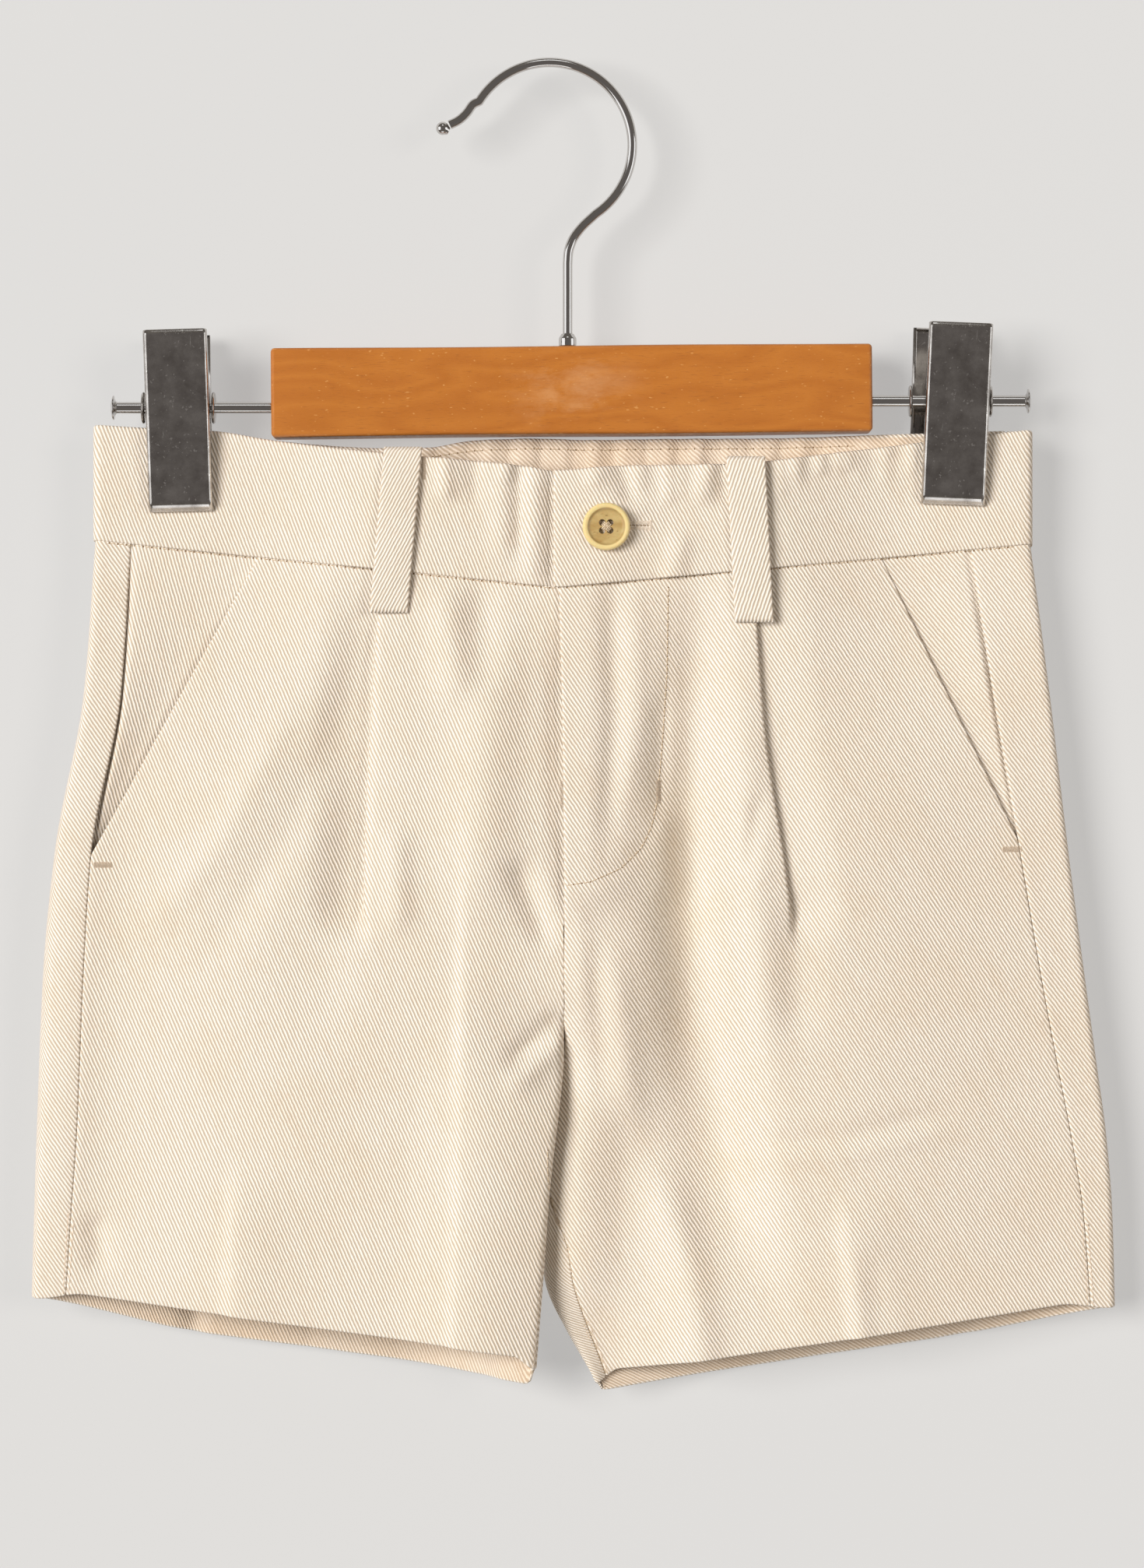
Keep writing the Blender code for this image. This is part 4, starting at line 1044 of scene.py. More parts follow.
def material(name, build):
    """The material of this name, made by build(tree) the first time it is asked for."""
    made = bpy.data.materials.get(name)
    if made is None:
        made = bpy.data.materials.new(name)
        made.use_nodes = True
        tree = made.node_tree
        tree.nodes.clear()
        surface = build(tree)
        tree.links.new(surface, tree.nodes.new("ShaderNodeOutputMaterial").inputs["Surface"])
    return made


def woven(tree, raised, sunk, tint):
    """Cotton twill, piece-dyed: slanting ridges of warp floats, matt with a soft bloom."""
    flat = node(tree, "UVMap", {"uv_map": "Cloth"})
    # A wave repeats every 0.3142 units, so this draws one ridge to each wale
    ridges = node(tree, "TexWave", {
        "Vector": flat, "Scale": 0.31416 * MM / bpy.context.scene.shorts_cloth.wale_spacing,
        "Distortion": 1.2, "Detail": 2.0, "Detail Scale": 1.4, "Detail Roughness": 0.6,
    }, "Fac")
    # Each float is a short slub about 0.6 mm wide and 2 mm long
    slubs = node(tree, "MapRange", {
        "Value": grain(tree, flat, (1.7, 0.5, 1.0), 3.0, 0.65),
        "From Min": 0.3, "From Max": 0.7, "To Min": 0.6, "To Max": 1.1,
    })
    height = node(tree, "Math", {"operation": "MULTIPLY", 0: ridges, 1: slubs})
    # The sunk colour darkens the cloth where the weave is low: painted shade in the grooves, as
    # both yarns take one dye
    colour = laid_over(tree, sunk, raised, height, 0.05, 0.75)
    # Uneven dye and handling in clouds 15 to 40 mm across, and yarns thicker here and there
    colour = laid_over(tree, colour, tint, patches(tree, 45.0), 0.4, 0.7, 0.55, "MULTIPLY")
    thick = grain(tree, flat, (0.35, 0.05, 1.0))
    colour = laid_over(tree, colour, "#F4EEE6", thick, 0.5, 0.75, 0.3, "MULTIPLY")
    return node(tree, "BsdfPrincipled", {
        "Base Color": colour, "Roughness": 0.88, "Specular IOR Level": 0.3,
        "Sheen Weight": 0.12, "Sheen Roughness": 0.55,
        "Normal": node(tree, "Bump", {"Height": height, "Strength": 1.0, "Distance": 0.0002}),
    })


def twill(tree):
    """Cotton twill, right side."""
    cloth = bpy.context.scene.shorts_cloth
    return woven(tree, cloth.raised_colour, cloth.groove_shade_colour, "#FBF6EF")


def twill_inside_and_shade(tree):
    """Cotton twill, wrong side: less even, a little deeper in colour."""
    # Also laid on the hem turnings and the band's inside, where its deeper colour is painted
    # shade; #C4B19B is painted shade in the grooves
    return woven(tree, bpy.context.scene.shorts_cloth.inside_and_shade_colour, "#C4B19B", "#F4EADD")


def thread(tree):
    """Spun polyester sewing thread: two plies, seen as a fine slant along each stitch."""
    colour = bpy.context.scene.shorts_cloth.thread_colour
    colour = laid_over(tree, "#A88E6C", colour, patches(tree, 2600.0, 2.0), 0.35, 0.65)
    values = {"Base Color": colour, "Roughness": 0.6, "Sheen Weight": 0.2}
    return node(tree, "BsdfPrincipled", values)


def brown_thread(tree):
    """Bar tack in thread that has gone brown and fluffed up."""
    colour = mottled(tree, 1800.0, "#A8947F", "#D8CAB8")
    return node(tree, "BsdfPrincipled", {"Base Color": colour, "Roughness": 0.8})


def pale_thread(tree):
    """Buttonhole twist, dyed paler than the cloth and a little fluffed up."""
    colour = mottled(tree, 1800.0, "#CDBBA6", "#F1E8DC")
    return node(tree, "BsdfPrincipled", {"Base Color": colour, "Roughness": 0.8})


def needle_hole(tree):
    """Cloth pulled in where the needle went through: the shade inside the hole."""
    colour = mottled(tree, 1500.0, "#6A553F", "#957D62")
    values = {"Base Color": colour, "Roughness": 1.0, "Specular IOR Level": 0.0}
    return node(tree, "BsdfPrincipled", values)


def varnished_beech(tree):
    """Steamed beech, sawn flat, dyed honey and varnished: long grain, ray flecks and rubs."""
    finish = bpy.context.scene.hanger_finish
    place = node(tree, "TexCoord", out="Object")
    # Growth rings met at a flat angle draw long loops; these bands are 3 to 5 mm apart
    rings = node(tree, "Math", {
        "operation": "MULTIPLY_ADD", 0: grain(tree, place, (14.0, 60.0, 60.0)), 1: 9.0,
        2: node(tree, "SeparateXYZ", {"Vector": place}, "Z"),
    })
    bands = node(tree, "Math", {"operation": "PINGPONG", 0: rings, 1: 0.5})
    colour = laid_over(tree, finish.grain_colour, finish.wood_colour, bands, 0.05, 0.5)
    # Pores: dark dashes 1 to 4 mm long along the bar
    pores = grain(tree, place, (380.0, 4200.0, 4200.0))
    colour = laid_over(tree, colour, "#8C5222", pores, 0.58, 0.75, 0.55)
    flecks = grain(tree, place, (600.0, 1500.0, 1500.0), 1.0)
    colour = laid_over(tree, colour, "#DDA766", flecks, 0.7, 0.76, 0.4)
    # Varnish rubbed pale around the middle, where hangers knock together
    rubbed = node(tree, "MapRange", {
        "Value": grain(tree, place, (45.0, 90.0, 90.0), 5.0, 0.7),
        "From Min": 0.45, "From Max": 0.62,
    })
    middle = node(tree, "TexGradient", {
        "gradient_type": "SPHERICAL",
        "Vector": node(tree, "Mapping", {"Vector": place, "Scale": (42.0, 20.0, 70.0)}),
    }, "Fac")
    middle = node(tree, "MapRange", {
        "Value": middle, "From Min": 0.05, "From Max": 0.7, "To Max": 0.24,
    })
    rubbed = node(tree, "Math", {"operation": "MULTIPLY", 0: rubbed, 1: middle})
    colour = node(tree, "Mix", {"data_type": "RGBA", 0: rubbed, 6: colour, 7: "#DDB083"}, 2)
    marks = node(tree, "MapRange", {
        "Value": grain(tree, place, (900.0, 250.0, 250.0), 3.0),
        "From Min": 0.3, "From Max": 0.7, "To Min": 0.38, "To Max": 0.6,
    })
    return node(tree, "BsdfPrincipled", {
        "Base Color": colour, "Roughness": marks, "Specular IOR Level": 0.5,
        "Coat Weight": 0.35, "Coat Roughness": 0.28,
        "Normal": node(tree, "Bump", {"Height": pores, "Strength": 0.25, "Distance": 0.0002}),
    })


def plated(tree, dull):
    """Nickel-chrome plate over steel: mirror-bright, dulled by handling and fine scratches."""
    place = node(tree, "TexCoord", out="Object")
    # Handling haze in patches of 4 to 12 mm, and scratches drawn out along the plate
    haze = patches(tree, 160.0, 5.0, 0.65)
    lines = grain(tree, place, (3200.0, 3200.0, 260.0))
    colour = bpy.context.scene.hanger_finish.chrome_colour
    colour = laid_over(tree, colour, "#A09A95", haze, 0.35, 0.7)
    colour = laid_over(tree, colour, "#FFFDF8", patches(tree, 1100.0, 2.0), 0.66, 0.7, 0.8)
    rough = node(tree, "MapRange", {
        "Value": haze, "From Min": 0.3, "From Max": 0.75, "To Min": 0.5 * dull, "To Max": dull,
    })
    # Long scratches, brighter than the plate, that lean over to the right
    leaning = node(tree, "Mapping", {
        "Vector": place, "Rotation": (0.0, 0.35, 0.0), "Scale": (1500.0, 60.0, 90.0),
    })
    cuts = node(tree, "TexNoise", {
        "Vector": leaning, "Scale": 1.0, "Detail": 1.0, "Roughness": 0.55,
    })
    rough = laid_over(tree, rough, "#D0D0D0", cuts, 0.76, 0.8)
    return node(tree, "BsdfPrincipled", {
        "Base Color": colour, "Metallic": 1.0, "Roughness": rough,
        "Normal": node(tree, "Bump", {"Height": lines, "Strength": 0.12, "Distance": 0.00005}),
    })


def chrome(tree):
    """Chrome plate that is rarely touched, on the hook and the rods."""
    return plated(tree, 0.14)


def worn_chrome(tree):
    """Chrome plate dulled by many hands, on the clips."""
    return plated(tree, 0.26)


def spring_steel(tree):
    """Oiled spring wire, dark and half bright."""
    haze = patches(tree, 900.0)
    rough = node(tree, "MapRange", {
        "Value": haze, "From Min": 0.3, "From Max": 0.7, "To Min": 0.2, "To Max": 0.4,
    })
    colour = node(tree, "Mix", {"data_type": "RGBA", 0: haze, 6: "#6E6A66", 7: "#A5A09A"}, 2)
    values = {"Base Color": colour, "Metallic": 1.0, "Roughness": rough}
    return node(tree, "BsdfPrincipled", values)


def horn(tree):
    """Cast polyester made to look like horn: honey streaks under a clear gloss, paler rim."""
    finish = bpy.context.scene.hanger_finish
    place = node(tree, "TexCoord", out="Object")
    streaks = grain(tree, place, (170.0, 420.0, 200.0), 4.0, 0.6)
    colour = laid_over(tree, "#A88A55", finish.horn_colour, streaks, 0.35, 0.65)
    flecks = grain(tree, place, (600.0, 1100.0, 900.0))
    colour = laid_over(tree, colour, "#6E4E22", flecks, 0.62, 0.72, 0.7)
    # The disc's reach, 1 at its middle and 0 at 7.1 mm, turns the colour at the rim
    ring = node(tree, "TexGradient", {
        "gradient_type": "SPHERICAL",
        "Vector": node(tree, "Mapping", {"Vector": place, "Scale": (140.0, 140.0, 0.0)}),
    }, "Fac")
    colour = laid_over(tree, colour, "#9A8048", ring, 0.39, 0.35, 0.3)
    colour = laid_over(tree, colour, finish.rim_colour, ring, 0.31, 0.27, 0.9)
    return node(tree, "BsdfPrincipled", {
        "Base Color": colour, "Roughness": 0.3, "Subsurface Weight": 0.15,
        "Subsurface Scale": 0.001, "Coat Weight": 0.3, "Coat Roughness": 0.1,
    })


def one_sided(tree, surface):
    """The surface seen from its front, and nothing from behind."""
    behind = node(tree, "NewGeometry", out="Backfacing")
    return node(tree, "MixShader", {0: behind, 1: surface, 2: node(tree, "BsdfTransparent")})


def painted_wall(tree):
    """Matt emulsion on plaster, with the roller's faint stipple, lit so that it glows."""
    setup = bpy.context.scene.studio_setup
    stipple = patches(tree, 700.0, 4.0)
    return one_sided(tree, node(tree, "BsdfPrincipled", {
        "Base Color": mottled(tree, 3.0, setup.wall_colour, "#8A8A89", 3.0), "Roughness": 0.9,
        "Emission Color": "#FBFAF9", "Emission Strength": setup.wall_glow,
        "Normal": node(tree, "Bump", {"Height": stipple, "Strength": 0.04, "Distance": 0.0002}),
    }))


def dark_room(tree):
    """The unlit room that polished metal mirrors."""
    colour = mottled(tree, 2.0, "#5F5B59", "#7A7674", 3.0)
    return node(tree, "Emission", {"Color": colour, "Strength": 1.0})


def window(tree):
    """A bright window that polished metal mirrors."""
    colour = mottled(tree, 2.0, "#F4F6FA", "#FFFFFF", 3.0)
    return node(tree, "Emission", {"Color": colour, "Strength": 1.5})


def added(name, data, place=(0.0, 0.0, 0.0)):
    """A new object in the scene."""
    obj = bpy.data.objects.new(name, data)
    bpy.context.scene.collection.objects.link(obj)
    obj.location = place
    return obj


def piece(name, data, nodes):
    """Adds a piece of the shown model, standing for these CAD nodes."""
    obj = added(name, data)
    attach(obj, "root")
    if nodes:
        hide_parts(*nodes)
    return obj


def grid_faces(rows, width, flip):
    """The faces of a grid of points, turned over by flip."""
    index = np.arange(rows * width).reshape(rows, width)
    corners = [index[:-1, :-1], index[:-1, 1:], index[1:, 1:], index[1:, :-1]]
    faces = np.stack(corners[::-1] if flip else corners, axis=-1)
    return faces.reshape(-1, 4)


def area_of(points):
    """The area of a grid of points."""
    across, down = points[:-1, 1:] - points[:-1, :-1], points[1:, :-1] - points[:-1, :-1]
    return float(np.linalg.norm(np.cross(across, down), axis=-1).sum())


def sewn(name, points, flat, sign, thickness=None, inside=(0, 0)):
    """A sheet of twill through a grid of points, with its wall, its weave and its cut.

    The first and the last rows, as many as inside says, are in the inside's duller colour, as
    painted shade.
    """
    thickness = thickness or bpy.context.scene.shorts_cloth.thickness
    rows, width = points.shape[:2]
    faces = grid_faces(rows, width, sign < 0)
    mesh = bpy.data.meshes.new("cloth_" + name)
    mesh.from_pydata((points.reshape(-1, 3) * MM).tolist(), [], faces.tolist())
    angle = math.radians(WALES[name])
    u, v = flat[..., 0].ravel(), flat[..., 1].ravel()
    threads = np.stack(
        [u * math.sin(angle) + v * math.cos(angle), u * math.cos(angle) - v * math.sin(angle)],
        axis=-1,
    )
    layer = mesh.uv_layers.new(name="Cloth")
    layer.data.foreach_set("uv", threads[faces.ravel()].ravel())
    mesh.shade_smooth()
    obj = piece("cloth_" + name, mesh, [name])
    mesh.materials.append(material("cotton_twill", twill))
    mesh.materials.append(material("cotton_twill_inside_and_shade", twill_inside_and_shade))
    row = np.arange(len(faces)) // (width - 1)
    slots = (row < inside[0]) | (row >= rows - 1 - inside[1])
    mesh.polygons.foreach_set("material_index", slots.astype(np.int32))
    shell = obj.modifiers.new("Cloth", "SOLIDIFY")
    shell.thickness = thickness
    shell.offset = 0.0
    shell.use_quality_normals = True
    shell.material_offset = 1
    wide = np.linalg.norm(np.diff(points, axis=1), axis=-1).sum(axis=1).max()
    long = np.linalg.norm(np.diff(points, axis=0), axis=-1).sum(axis=0).max()
    min(area_of(points), 0.999 * float(wide * long)) * MM * MM
    return obj


def tucked_up(points, flat, normals):
    """The grid with its top edge carried up behind the waistband."""
    extra, extra_flat = [], []
    for rise in TUCKED_UP:
        row = points[0] - normals[0] * 0.12 * rise
        row[:, 2] += rise
        extra.append(row)
        extra_flat.append(flat[0] + np.array([0.0, rise]))
    return np.concatenate([extra, points]), np.concatenate([extra_flat, flat])


def turnings(points, sign, side, anchor):
    """A leg panel's grid with its seam edges and its hem turned under, and its flat places."""
    flat = laid_out(points, side, anchor)
    down = np.linalg.norm(np.diff(points, axis=0), axis=-1).mean(axis=1)
    left = np.concatenate([np.cumsum(down[::-1])[::-1], [0.0]])
    fade = smooth((left - HEM_TURNING) / HEM_FADE)
    for edge in ("start", "end"):
        points, flat = turned(points, flat, outward(points, sign), edge, SEAM_TURNING, fade)
    points, flat = tucked_up(points, flat, outward(points, sign))
    return turned(points, flat, outward(points, sign), "bottom", HEM_TURNING)


def lined(points, flat, sign):
    """A waistband's grid: up the inside, over the top fold, down the outside, ends closed."""
    normals = outward(points, sign)
    half = (BAND_OUT + BAND_IN) / 2
    outer, inner = points + BAND_OUT * normals, points - BAND_IN * normals
    top = (outer[0] + inner[0]) / 2
    rise = np.array([0.0, 0.0, 1.0])
    arc, arc_flat = [], []
    for degrees in range(165, 0, -15):
        angle = math.radians(degrees)
        arc.append(top + half * (math.cos(angle) * normals[0] + math.sin(angle) * rise))
        arc_flat.append(flat[0] + np.array([0.0, half * angle]))
    inner_flat = flat.copy()
    inner_flat[..., 1] = 2.0 * flat[:1, :, 1] + half * math.pi - flat[..., 1]
    grid = np.concatenate([inner[::-1], arc, outer])
    flats = np.concatenate([inner_flat[::-1], arc_flat, flat])
    for edge, depth in (("start", 0.0), ("end", 0.0), ("top", 0.5), ("bottom", 0.5)):
        grid, flats = turned(grid, flats, outward(grid, sign), edge, depth)
    return grid, flats


def puckers(start, end):
    """Short uneven ridges below the waistband's top edge, about 6 mm apart."""
    made = []
    for i in range(int((end - start) / PUCKER_PITCH)):
        x = start + PUCKER_PITCH * i + 1.5 * math.sin(i * 2.3)
        top = float(along(FRONT_TOP, x, 1))
        reach = 9.0 + 3.5 * math.sin(i * 1.3)
        height = 0.28 * (1.0 + 0.5 * math.sin(i * 1.7))
        made.append((1.7, height, (x, top + 4.0), (x + math.sin(i), top - reach)))
    return tuple(made)


class SHORTS_OT_fronts(bpy.types.Operator):
    """Adds the two front panels, with their pleats, turned edges and folds."""

    bl_idname = "shorts.add_fronts"
    bl_label = "Front panels"

    def execute(self, context):
        thickness = context.scene.shorts_cloth.thickness / MM
        for side_name, side in SIDES.items():
            points = folded(front_panel(side_name, thickness), FRONT_FOLDS[side_name])
            points, flat = turnings(points, side, side, "front")
            # The hem's turning takes the inside's colour as painted shade
            sewn("front_" + side_name, points, flat, side, inside=(0, HEM_ROWS))
        return {"FINISHED"}


class SHORTS_OT_backs(bpy.types.Operator):
    """Adds the two back panels, which come round the sides to the side seams."""

    bl_idname = "shorts.add_backs"
    bl_label = "Back panels"

    def execute(self, context):
        thickness = context.scene.shorts_cloth.thickness / MM
        for side_name, side in SIDES.items():
            points = back_panel(side_name, thickness)
            points = folded(points, FRONT_FOLDS[side_name], BACK_FOLDS)
            points, flat = turnings(points, -side, side, "start")
            # The hem's turning takes the inside's colour as painted shade
            sewn("back_" + side_name, points, flat, -side, inside=(0, HEM_ROWS))
        return {"FINISHED"}


class SHORTS_OT_pockets(bpy.types.Operator):
    """Adds the pocket facings, seen in the mouths of the slant pockets."""

    bl_idname = "shorts.add_pockets"
    bl_label = "Pocket facings"

    def execute(self, context):
        for side_name, side in SIDES.items():
            points = folded(facing_panel(side_name), FRONT_FOLDS[side_name])
            flat = laid_out(points, side, "front")
            points, flat = tucked_up(points, flat, outward(points, side))
            sewn("pocket_facing_" + side_name, points, flat, side)
        return {"FINISHED"}


class SHORTS_OT_waistband(bpy.types.Operator):
    """Adds the waistband: two front lengths lapping at the button, and the gathered back."""

    bl_idname = "shorts.add_waistband"
    bl_label = "Waistband"

    def execute(self, context):
        thickness = context.scene.shorts_cloth.thickness / MM
        for side_name, side in SIDES.items():
            folds = BAND_FOLDS[side_name] + puckers(*PUCKERED[side_name])
            points = front_band(side_name, thickness)
            points, flat = lined(folded(points, folds), laid_out(points, side, "end"), side)
            sewn("waistband_front_" + side_name, points, flat, side)
        points = back_band()
        flat = laid_out(points, -1.0, "start")
        # The band's inside layer takes the inside's colour as painted shade
        inside = (len(points) + 8, 0)
        points, flat = lined(folded(points, (), BACK_BAND_FOLDS), flat, 1.0)
        sewn("waistband_back", points, flat, 1.0, inside=inside)
        return {"FINISHED"}


def loop_path(width, half):
    """The middle line of a folded strip's section, all round from the middle of its back."""
    flat = np.linspace(0.0, width / 2 - half, 6)
    turn = np.radians(np.linspace(-90.0, 90.0, 9)[1:-1])
    right = [(x, -half) for x in flat]
    right += [(width / 2 - half + half * math.cos(a), half * math.sin(a)) for a in turn]
    right += [(x, half) for x in flat[::-1]]
    return np.array([(-x, y) for x, y in right] + [(x, y) for x, y in right[::-1]][1:])


def under_loop(cast, x, z, width, face):
    """How far out the cloth lies under a belt loop, across its width and a little past it."""
    places = [(x + width * across, z + up) for across in (-0.5, -0.25, 0.0, 0.25, 0.5)
              for up in (-2.0, 0.0, 2.0)]
    hits = [cast(at_x, at_z, face) for at_x, at_z in places]
    return max(face * hit for hit in hits if hit is not None)


def belt_loop(cast, top_x, bottom_x, top_z, bottom_z, width, face):
    """The rows of a belt loop: a flattened tube standing a little off the waistband."""
    rows = []
    shares = np.linspace(0.0, 1.0, LOOP_ROWS + 1)
    places = [(mix(top_x, bottom_x, at), mix(top_z, bottom_z, at)) for at in shares]
    under = np.array([under_loop(cast, x, z, width, face) for x, z in places])
    # The strip is stiff, so it follows the cloth below it over nine rows at a time
    under = np.convolve(np.pad(under, 4, mode="edge"), np.full(9, 1 / 9), mode="valid")
    for share, cloth in zip(shares, under):
        z = mix(top_z, bottom_z, share)
        from_end = min(share, 1.0 - share) * abs(top_z - bottom_z)
        half = LOOP_HALF * (0.35 + 0.65 * math.sqrt(min(1.0, from_end)))
        section = loop_path(width, half)
        x = mix(top_x, bottom_x, share) + section[:, 0]
        stand = LOOP_OFF + LOOP_STAND * math.sin(math.pi * share) ** LOOP_BOW
        # The strip bows across its width, and its stitched edges sit a little lower
        crown = 0.25 * (1.0 - (section[:, 0] / (width / 2)) ** 2) * math.sin(math.pi * share)
        y = face * (cloth + stand + crown + section[:, 1])
        rows.append(np.stack([x, y, np.full(len(x), z)], axis=-1))
    return np.array(rows)


class SHORTS_OT_loops(bpy.types.Operator):
    """Adds the four belt loops."""

    bl_idname = "shorts.add_loops"
    bl_label = "Belt loops"

    def execute(self, context):
        under = [f"cloth_{part}_{side}" for side in SIDES for part in UNDER_LOOPS]
        cast = caster(under + ["cloth_waistband_back"])
        for name, *sizes, face in LOOPS:
            points = belt_loop(cast, *sizes, face)
            flat = laid_out(points, -1.0, "start")
            sewn(name, points, flat, face, LOOP_CLOTH)
        return {"FINISHED"}


def caster(names):
    """A function that finds where a line along Y first meets these pieces from one side."""
    graph = bpy.context.evaluated_depsgraph_get()
    trees = [BVHTree.FromObject(bpy.data.objects[name], graph) for name in names]

    def cast(x, z, face):
        """The y of the first cloth met at x and z from one side, or None."""
        start = Vector((x * MM, face * 0.2, z * MM))
        hits = [tree.ray_cast(start, Vector((0.0, -face, 0.0)), 0.4) for tree in trees]
        hits = [(far, point.y / MM) for point, _, _, far in hits if point is not None]
        return min(hits)[1] if hits else None

    return cast


def ring_faces(rings, steps):
    """The faces between rings of points, with so many points in each."""
    faces = []
    for low in range(0, (rings - 1) * steps, steps):
        for step in range(steps):
            after = (step + 1) % steps
            faces.append((low + step, low + after, low + steps + after, low + steps + step))
    return faces


def stitch(start, end, radius, face):
    """A bent thread between two needle holes: its points and faces."""
    start, end = np.array(start), np.array(end)
    along_it = (end - start) / max(np.linalg.norm(end - start), 1e-6)
    out = np.array([0.0, float(face), 0.0])
    beside = np.cross(along_it, out)
    shares = (0.0, 0.18, 0.5, 0.82, 1.0)
    points = []
    for share in shares:
        centre = mix(start, end, share) + out * radius * (2.2 * math.sin(math.pi * share) - 0.9)
        for step in range(6):
            angle = 2 * math.pi * step / 6
            offset = math.cos(angle) * beside + math.sin(angle) * out
            points.append(centre + radius * offset)
    return np.array(points), ring_faces(len(shares), 6)


def hole(centre, radius, face):
    """A small flat disc, dark as painted shade, where thread enters the cloth."""
    angles = np.linspace(0.0, 2 * math.pi, 7)[:-1]
    ring = [(centre[0] + radius * math.cos(a), centre[1] + face * 0.03,
             centre[2] + radius * math.sin(a)) for a in angles]
    return np.array(ring), [tuple(range(6)) if face < 0 else tuple(range(5, -1, -1))]


def thread_piece(name, parts, maker):
    """One mesh from many stitches or holes."""
    points, faces, before = [], [], 0
    for part_points, part_faces in parts:
        points.append(part_points)
        faces += [tuple(int(i) + before for i in face) for face in part_faces]
        before += len(part_points)
    mesh = bpy.data.meshes.new(name)
    mesh.from_pydata((np.concatenate(points) * MM).tolist(), [], faces)
    mesh.shade_smooth()
    mesh.materials.append(material(maker.__name__, maker))
    return piece(name, mesh, [])


def seam_places(route, pitch):
    """Even places along a route of (x, z)."""
    route = np.array(route, float)
    where = lengths(route)
    count = max(1, int(round(where[-1] / pitch)))
    at = np.linspace(0.0, where[-1], count + 1)
    return np.stack([np.interp(at, where, route[:, k]) for k in range(2)], axis=-1)


def run_of_stitches(cast, route, face, gap=0.12, wide=1.3):
    """Stitches and needle holes along a route on the cloth.

    gap is the share of a stitch left open at each end, and wide a hole's size in threads.
    """
    settings = bpy.context.scene.shorts_cloth
    radius = settings.thread_radius / MM
    stitches, holes, points = [], [], []
    for x, z in seam_places(route, settings.stitch_length / MM):
        y = cast(x, z, face)
        points.append(None if y is None else np.array([x, y, z]))
    for start, end in zip(points, points[1:]):
        # No stitch jumps from one sheet of cloth to another
        if start is None or end is None or abs(start[1] - end[1]) > SAME_SHEET:
            continue
        stitches.append(stitch(mix(start, end, gap), mix(start, end, 1.0 - gap), radius, face))
        holes.append(hole(start, radius * wide, face))
    return stitches, holes


def bar_tack(cast, x, z, width, height, across=True):
    """A block of close stitches over a seam's end, on the front."""
    radius = bpy.context.scene.shorts_cloth.thread_radius / MM
    made = []
    count = max(4, int((height if across else width) / (radius * 2.1)))
    for i in range(count + 1):
        share = i / count - 0.5
        lean = 0.12 * math.sin(i * 2.1) * 0.4
        points = []
        for end in (-1, 1):
            if across:
                at_x, at_z = x + end * width / 2, z + share * height - end * lean
            else:
                at_x, at_z = x + share * width - end * lean, z + end * height / 2
            y = cast(at_x, at_z, -1)
            if y is not None:
                points.append((at_x, y, at_z))
        if len(points) == 2:
            made.append(stitch(*points, radius, -1))
    return made


def waist_line(face):
    """The waist seam's line on one face, as (x, z)."""
    line = []
    for side_name, side in SIDES.items():
        points = wall(leg_at(side_name, 0.0), face, np.linspace(0.03, 0.98, 60))
        line += [(x, z + WAIST_ROW) for x, _, z in points[:: int(-side)]]
    return line


def within(line, span):
    """The points of a line of (x, z) whose x lies in a span."""
    return [(x, z) for x, z in line if span[0] < x < span[1]]


def inseam_line():
    """The left leg's inseam where it shows, as (x, z)."""
    line = []
    for level in INSEAM_LEVELS:
        leg = leg_at("left", level)
        x, _, z = round_edge(leg, -1, "inner", np.array([leg["inseam"]]))[0]
        line.append((x, z))
    return line


class SHORTS_OT_stitching(bpy.types.Operator):
    """Adds the seam stitches, bar tacks and buttonhole."""

    bl_idname = "shorts.add_stitching"
    bl_label = "Stitching"

    def execute(self, context):
        bands = [f"cloth_waistband_{part}" for part in ("front_right", "front_left", "back")]
        parts = ("front", "back", "pocket_facing")
        panels = [f"cloth_{part}_{side}" for part in parts for side in SIDES]
        on_all, on_bands = caster(panels + bands), caster(bands)
        in_back = caster(["cloth_waistband_back"])
        casing = [(x, z - CASING_ROW) for x, z in BACK_TOP]
        # Each run: its cloths, its route, its face, and then its gap and its holes' size
        seams = (
            ("waist_seam", (on_all, waist_line(-1), -1, 0.25, 2.6),
             (on_all, waist_line(1), 1, 0.25, 2.6), (on_all, inseam_line(), -1, 0.12, 2.0)),
            ("fly", (on_all, FLY_ROUTE, -1, 0.12, 2.2)),
            ("casing", (on_bands, within(casing, CASING_SPAN), 1),
             (in_back, within(casing, CASING_INSIDE_SPAN), -1, 0.12, 2.4)),
        )
        for name, *runs in seams:
            stitches, holes = [], []
            for run in runs:
                made, dark = run_of_stitches(*run)
                stitches += made
                holes += dark
            thread_piece("stitches_" + name, stitches, thread)
            if name == "fly":
                tacks = [made for tack in TACKS for made in bar_tack(on_all, *tack)]
                thread_piece("bar_tacks", tacks, brown_thread)
            thread_piece("needle_holes_" + name, holes, needle_hole)
        thread_piece("stitches_belt_loop", bar_tack(on_bands, *LOOP_TACK), brown_thread)

        x_start, x_end, z = BUTTONHOLE
        middle, length = (x_start + x_end) / 2, x_end - x_start
        purl = bar_tack(on_bands, middle, z - 0.75, length, 1.0, False)
        purl += bar_tack(on_bands, middle, z + 0.75, length, 1.0, False)
        purl += bar_tack(on_bands, x_end, z, 1.0, 2.6)
        thread_piece("stitches_buttonhole", purl, pale_thread)
        # The slit is a row of small discs in painted shade
        places = seam_places([(x_start, z), (x_end - 0.4, z)], 0.5)
        slit = [hole((x, on_bands(x, z, -1) or 0.0, z), 0.2, -1) for x, z in places]
        thread_piece("slit_buttonhole", slit, needle_hole)
        return {"FINISHED"}


